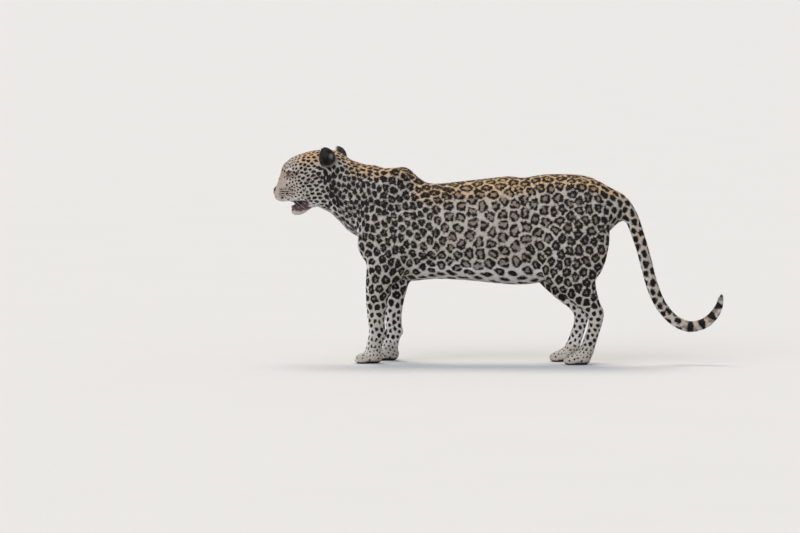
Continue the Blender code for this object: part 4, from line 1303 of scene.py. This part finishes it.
def makeEye(side, material):
    look, word = eyeLooks, "left" if side < 0 else "right"
    rings, turns = look["rings"], look["turns"]
    angle = np.linspace(0, math.pi, rings + 1)[1:-1]
    around = np.arange(turns) * 2 * math.pi / turns
    lift = eyeRadius + look["cornea"] * ramp(look["corneaWide"], 0.10, angle)
    grid = np.stack([-np.cos(angle)[:, None] * lift[:, None] + 0 * around,
                     (np.sin(angle) * lift)[:, None] * np.cos(around),
                     (np.sin(angle) * lift)[:, None] * np.sin(around)], 2).reshape(-1, 3)
    points = np.concatenate([[(-eyeRadius - look["cornea"], 0, 0)], grid, [(eyeRadius, 0, 0)]])
    build = bmesh.new()
    verts = [build.verts.new(point) for point in points.tolist()]
    ring = [verts[1 + row * turns:1 + (row + 1) * turns] for row in range(rings - 1)]
    for row in range(rings - 2):
        a, b = ring[row], ring[row + 1]
        for k in range(turns):
            build.faces.new((a[k], b[k], b[(k + 1) % turns], a[(k + 1) % turns]))
    for k in range(turns):
        build.faces.new((verts[0], ring[0][k], ring[0][(k + 1) % turns]))
        build.faces.new((verts[-1], ring[-1][(k + 1) % turns], ring[-1][k]))
    bmesh.ops.recalc_face_normals(build, faces=build.faces)
    mesh = bpy.data.meshes.new(f"eyeball_{word}")
    build.to_mesh(mesh)
    build.free()
    disc = unit(points)
    giveValues(mesh, "eyeDisc", disc[:, 1], disc[:, 2], np.arccos(np.clip(-disc[:, 0], -1, 1)))
    mesh.transform(eyeFrame(side))
    piece = shown(f"eyeball_{word}", mesh, material)
    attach(piece, "root")
    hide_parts(f"eye_{word}")


glass = eyeMaterial()
for eyeSide in sides.values():
    makeEye(eyeSide, glass)
print("eyes done")


# Nose pad: pebbled leather with its nostrils

noseLooks = {
    "voxel": 0.0009,
    "pebbles": 620.0,           # to a metre
    "colour": (0.034, 0.022, 0.020),
    "pink": (0.092, 0.052, 0.046),
    # grooves: two ends in the head's frame (x, sideways and z), half width and depth
    "grooves": [((-0.088, 0.0, -0.047), (-0.088, 0.0, -0.070), 0.0017, 0.0014),
                ((-0.083, 0.0125, -0.0515), (-0.078, 0.0215, -0.0475), 0.0028, 0.0030),
                ((-0.084, 0.0100, -0.0545), (-0.084, 0.0065, -0.0500), 0.0026, 0.0016)],
}


def leatherGroup():
    group, given, result, w = newGroup(
        "pebbledLeather", [("Dark", "colour", noseLooks["colour"]), ("Light", "colour", noseLooks["pink"]),
                           ("Scale", "value", noseLooks["pebbles"])],
        [("Colour", "colour"), ("Height", "value"), ("Rough", "value")])
    place = w.add("TexCoord").outputs["Object"]
    cells = w.add("TexVoronoi", Vector=place, Scale=given["Scale"])
    edges = w.between(cells.outputs["Distance"], 0.15, 0.62, 1.0, 0.0)
    cloud = w.noise(place, 130.0, 3.0, 0.6)
    colour = w.mix(w.times(edges, cloud), given["Dark"], given["Light"])
    w.put(result["Colour"], colour)
    w.put(result["Height"], edges)
    w.put(result["Rough"], w.between(cloud, 0.3, 0.7, 0.30, 0.48))
    return group


def leatherMaterial():
    made, shader, w = newMaterial("nose_leather", Specular_IOR_Level=0.25)
    given = w.shared(leatherGroup())
    w.put(shader["Base Color"], given["Colour"])
    w.put(shader["Roughness"], given["Rough"])
    w.put(shader["Normal"], w.add("Bump", Strength=0.8, Distance=0.0003, Height=given["Height"]).outputs[0])
    return made


def makeNose():
    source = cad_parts["nose"].data
    source.calc_loop_triangles()
    solid = meshFrom("nose_pad", numbers(source.vertices, "co", width=3),
                     numbers(source.loop_triangles, "vertices", np.int32, 3))
    nose = remeshed(shown("nose_pad", solid), noseLooks["voxel"])
    mesh = nose.data
    points = vectors(mesh.vertices, "co")
    edges = numbers(mesh.edges, "vertices", np.int32, 2)
    local = placed(relaxed(points, edges, 0.5, 8), headInverse)
    flat = folded(local)[:, 1:]
    for start, end, half, depth in noseLooks["grooves"]:
        gap = fromLine(flat, start[1:], end[1:])[0]
        local[:, 0] += depth * ramp(half, 0.0, gap) * ramp(-0.070, -0.075, local[:, 0])
    movePoints(mesh, placed(local, headPlace))
    mesh.materials.append(leatherMaterial())
    mesh.polygons.foreach_set("use_smooth", np.ones(len(mesh.polygons), bool))
    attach(nose, "root")
    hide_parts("nose")
    print("nose pad:", len(mesh.polygons), "faces")


makeNose()


# Tongue: low in the open mouth, with a shallow groove

tongueLooks = {
    "tip": -0.0310,             # the head's own x
    "root": -0.006,
    "wide": 0.0125,             # half its width
    "thick": 0.0046,
    "line": ([-0.035, -0.022, -0.006], [-0.1095, -0.1060, -0.1020]),  # x, and the height of its top
    "colour": (0.120, 0.050, 0.048),
    "light": (0.190, 0.090, 0.082),
    "rings": 33,
    "turns": 36,
}


def makeTongue():
    look = tongueLooks
    rings, turns = look["rings"], look["turns"]
    run, around = np.linspace(0.0, 1.0, rings), np.arange(turns) * 2 * math.pi / turns
    x = look["tip"] + (look["root"] - look["tip"]) * run**1.6
    size = np.sqrt(np.clip(1 - (1 - clamped(run * 2.6)) ** 2, 0.0004, 1))[:, None]
    y = look["wide"] * size * np.cos(around) * (1 + 0.10 * run[:, None])
    up = look["thick"] * size**0.7 * np.sin(around)
    up -= 0.0011 * np.exp(-(y / 0.0030) ** 2) * (np.sin(around) > 0) * size
    z = np.interp(x, *look["line"])[:, None] + up - look["thick"] + 0.0016 * (y / look["wide"]) ** 2
    grid = np.stack([np.broadcast_to(x[:, None], y.shape), y, z], 2)
    rows, columns = np.arange(rings - 1)[:, None] * turns, np.arange(turns)
    after = (columns + 1) % turns
    faces = np.stack([rows + columns, rows + turns + columns, rows + turns + after, rows + after], 2)
    faces = faces.reshape(-1, 4)
    mesh = meshFrom("tongue", placed(grid.reshape(-1, 3), headPlace), faces)
    build = bmesh.new()
    build.from_mesh(mesh)
    bmesh.ops.holes_fill(build, edges=[edge for edge in build.edges if edge.is_boundary], sides=0)
    bmesh.ops.recalc_face_normals(build, faces=build.faces)
    build.to_mesh(mesh)
    build.free()
    made, shader, w = newMaterial("tongue_flesh")
    place = w.add("TexCoord").outputs["Object"]
    buds = w.add("TexVoronoi", Vector=place, Scale=900.0).outputs["Distance"]
    w.put(shader["Base Color"], w.mix(w.noise(place, 150.0, 3.0), look["colour"], look["light"]))
    w.put(shader["Roughness"], w.between(w.noise(place, 300.0), 0.3, 0.7, 0.34, 0.50))
    w.put(shader["Normal"], w.add("Bump", Strength=0.6, Distance=0.0004, Height=buds).outputs[0])
    piece = shown("tongue", mesh, made)
    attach(piece, "root")


makeTongue()


# Whiskers and brow hairs: tapered tubes that sweep back and down

whiskerLooks = {
    "rows": 4,
    "eachRow": 4,
    "start": (-0.045, -0.051),  # x and z of the first one, in the head's frame
    "step": 0.0075,             # to the next one in its row
    "rowDown": 0.0078,
    "rowShift": 0.004,
    "length": (0.060, 0.105),
    "thick": 0.00060,
    "steps": 10,
    "browHairs": 4,
    "browStart": (-0.018, 0.034),  # x and sideways
    "browStep": 0.005,
    "browLength": 0.048,
}


def tubes(name, hairs, material):  # one tapered tube for each start, way, bend and length
    steps, thick = whiskerLooks["steps"], whiskerLooks["thick"]
    t = np.linspace(0, 1, steps + 1)
    points, faces = [], []
    for start, way, bend, length in hairs:
        line = start + way * (t * length)[:, None] + bend * (t**2 * length)[:, None]
        run = unit(np.gradient(line, axis=0))
        side = unit(np.cross(run, np.array([0.3, 0.2, 1.0])))
        other = np.cross(run, side)
        radius = thick / 2 * (1 - 0.85 * t)
        base = len(points) * (steps + 1) * 4
        turns = [k * math.pi / 2 for k in range(4)]
        ring = [line + (side * math.cos(turn) + other * math.sin(turn)) * radius[:, None] for turn in turns]
        points.append(np.stack(ring, 1).reshape(-1, 3))
        for row in range(steps):
            for k in range(4):
                a, b = base + row * 4 + k, base + row * 4 + (k + 1) % 4
                faces.append((a, b, b + 4, a + 4))
        faces += [(base + 3, base + 2, base + 1, base), tuple(base + steps * 4 + k for k in range(4))]
    piece = shown(name, meshFrom(name, np.concatenate(points), np.array(faces)), material)
    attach(piece, "root")


def makeWhiskers():
    look = whiskerLooks
    made, shader, w = newMaterial("whisker_hair", Roughness=0.35)
    cloud = w.noise(w.add("TexCoord").outputs["Object"], 60.0)
    w.put(shader["Base Color"], w.mix(cloud, (0.70, 0.68, 0.66), (0.90, 0.89, 0.88)))
    tree = BVHTree.FromPolygons(body["points"].tolist(), body["faces"].tolist())
    turn = np.array(headPlace.to_3x3())
    (x, z), (xBrow, yBrow), (shortest, longest) = look["start"], look["browStart"], look["length"]

    def root(place, way):  # where a ray in the head's frame meets the skin
        return tree.ray_cast(headPlace @ Vector(place), Vector(turn @ np.array(way)))[0]

    for word, side in sides.items():
        hairs = []
        for row in range(look["rows"]):
            for k in range(look["eachRow"]):
                along = x + look["step"] * k + look["rowShift"] * (row % 2)
                hit = root((along, 0.09 * side, z - look["rowDown"] * row), [0, -side, 0])
                if hit is None:
                    continue
                share = chance.random()
                hairs.append((
                    np.array(hit) - turn @ np.array([0, 0.001 * side, 0]),
                    turn @ unit(np.array([0.15 + 0.12 * k, (0.85 - 0.10 * k) * side, 0.10 - 0.16 * row])),
                    turn @ np.array([0.42 + 0.1 * share, -0.15 * side, -0.34 - 0.05 * row]),
                    shortest + (longest - shortest) * (0.25 + 0.2 * k + 0.2 * share)))
        for k in range(look["browHairs"]):
            hairs.append((
                np.array(root((xBrow + look["browStep"] * k, yBrow * side, 0.12), [0, 0, -1])),
                turn @ unit(np.array([0.1 + 0.1 * k, 0.5 * side, 0.8])),
                turn @ np.array([0.45, 0.1 * side, -0.30]),
                look["browLength"] * (0.7 + 0.3 * chance.random())))
        tubes(f"whiskers_{word}", hairs, made)
    print("whiskers done")


makeWhiskers()


# Stage: floor, lights and camera

stageLooks = {
    "floorHalf": 400.0,
    "floorColour": (0.55, 0.545, 0.535),
    "worldColour": (0.82, 0.88, 0.97),
    "worldStrength": 0.82,
    "pixel": 0.0034,            # metres of the animal to a pixel of the photograph
    "photoWide": 800,
    "photoHigh": 533,
    "originAcross": 465.0,      # where the ground below the body's middle lies in it
    "originDown": 362.0,
    "originX": -0.1109,
    "turn": 6.0,                # degrees
    "rise": 3.0,
    "distance": 20.0,
}
lights = {
    # direction that the light comes from, strength, softness in radians, colour
    "high_back_light": ((-0.25, 0.75, 1.35), 2.0, 0.50, (1.0, 0.87, 0.70)),
    "front_light": ((-0.55, -1.0, 0.75), 1.35, 0.80, (0.97, 0.98, 1.0)),
}


def floorMaterial():
    made, shader, w = newMaterial("pale_floor", Roughness=0.85)
    cloud = w.noise(w.add("TexCoord").outputs["Object"], 1.5, 2.0)
    darker, lighter = (tuple(c * share for c in stageLooks["floorColour"]) for share in (0.985, 1.01))
    w.put(shader["Base Color"], w.mix(cloud, darker, lighter))
    return made


def makeStage():
    look = stageLooks
    half = look["floorHalf"]
    corners = np.array([(-half, -half, 0), (half, -half, 0), (half, half, 0), (-half, half, 0)])
    floor = shown("floor", meshFrom("floor", corners, np.array([[0, 1, 2, 3]])), floorMaterial())
    world = bpy.data.worlds.new("studio")
    bpy.context.scene.world = world
    world.use_nodes = True
    background = world.node_tree.nodes["Background"]
    background.inputs["Color"].default_value = (*look["worldColour"], 1)
    background.inputs["Strength"].default_value = look["worldStrength"]
    for name, (way, strength, softness, colour) in lights.items():
        light = bpy.data.objects.new(name, bpy.data.lights.new(name, "SUN"))
        bpy.context.scene.collection.objects.link(light)
        light.data.energy, light.data.angle, light.data.color = strength, softness, colour
        light.location = Vector(way) * 3
        light.rotation_euler = Vector(way).to_track_quat("Z", "Y").to_euler()


def makeCamera():
    look = stageLooks
    turn, rise = math.radians(look["turn"]), math.radians(look["rise"])
    back = Vector((math.sin(turn) * math.cos(rise), -math.cos(turn) * math.cos(rise), math.sin(rise)))
    target = Vector((
        look["originX"] + (look["photoWide"] / 2 - look["originAcross"]) * look["pixel"] / math.cos(turn),
        0.0, (look["originDown"] - look["photoHigh"] / 2) * look["pixel"]))
    camera = bpy.data.objects.new("camera", bpy.data.cameras.new("camera"))
    bpy.context.scene.collection.objects.link(camera)
    bpy.context.scene.camera = camera
    camera.data.sensor_width = 36
    camera.data.lens = 36 * look["distance"] / (look["photoWide"] * look["pixel"])
    camera.data.clip_end = 1000
    camera.location = target + back * look["distance"]
    camera.rotation_euler = (-back).to_track_quat("-Z", "Y").to_euler()


makeStage()
makeCamera()
bpy.context.scene.view_settings.view_transform = "Standard"
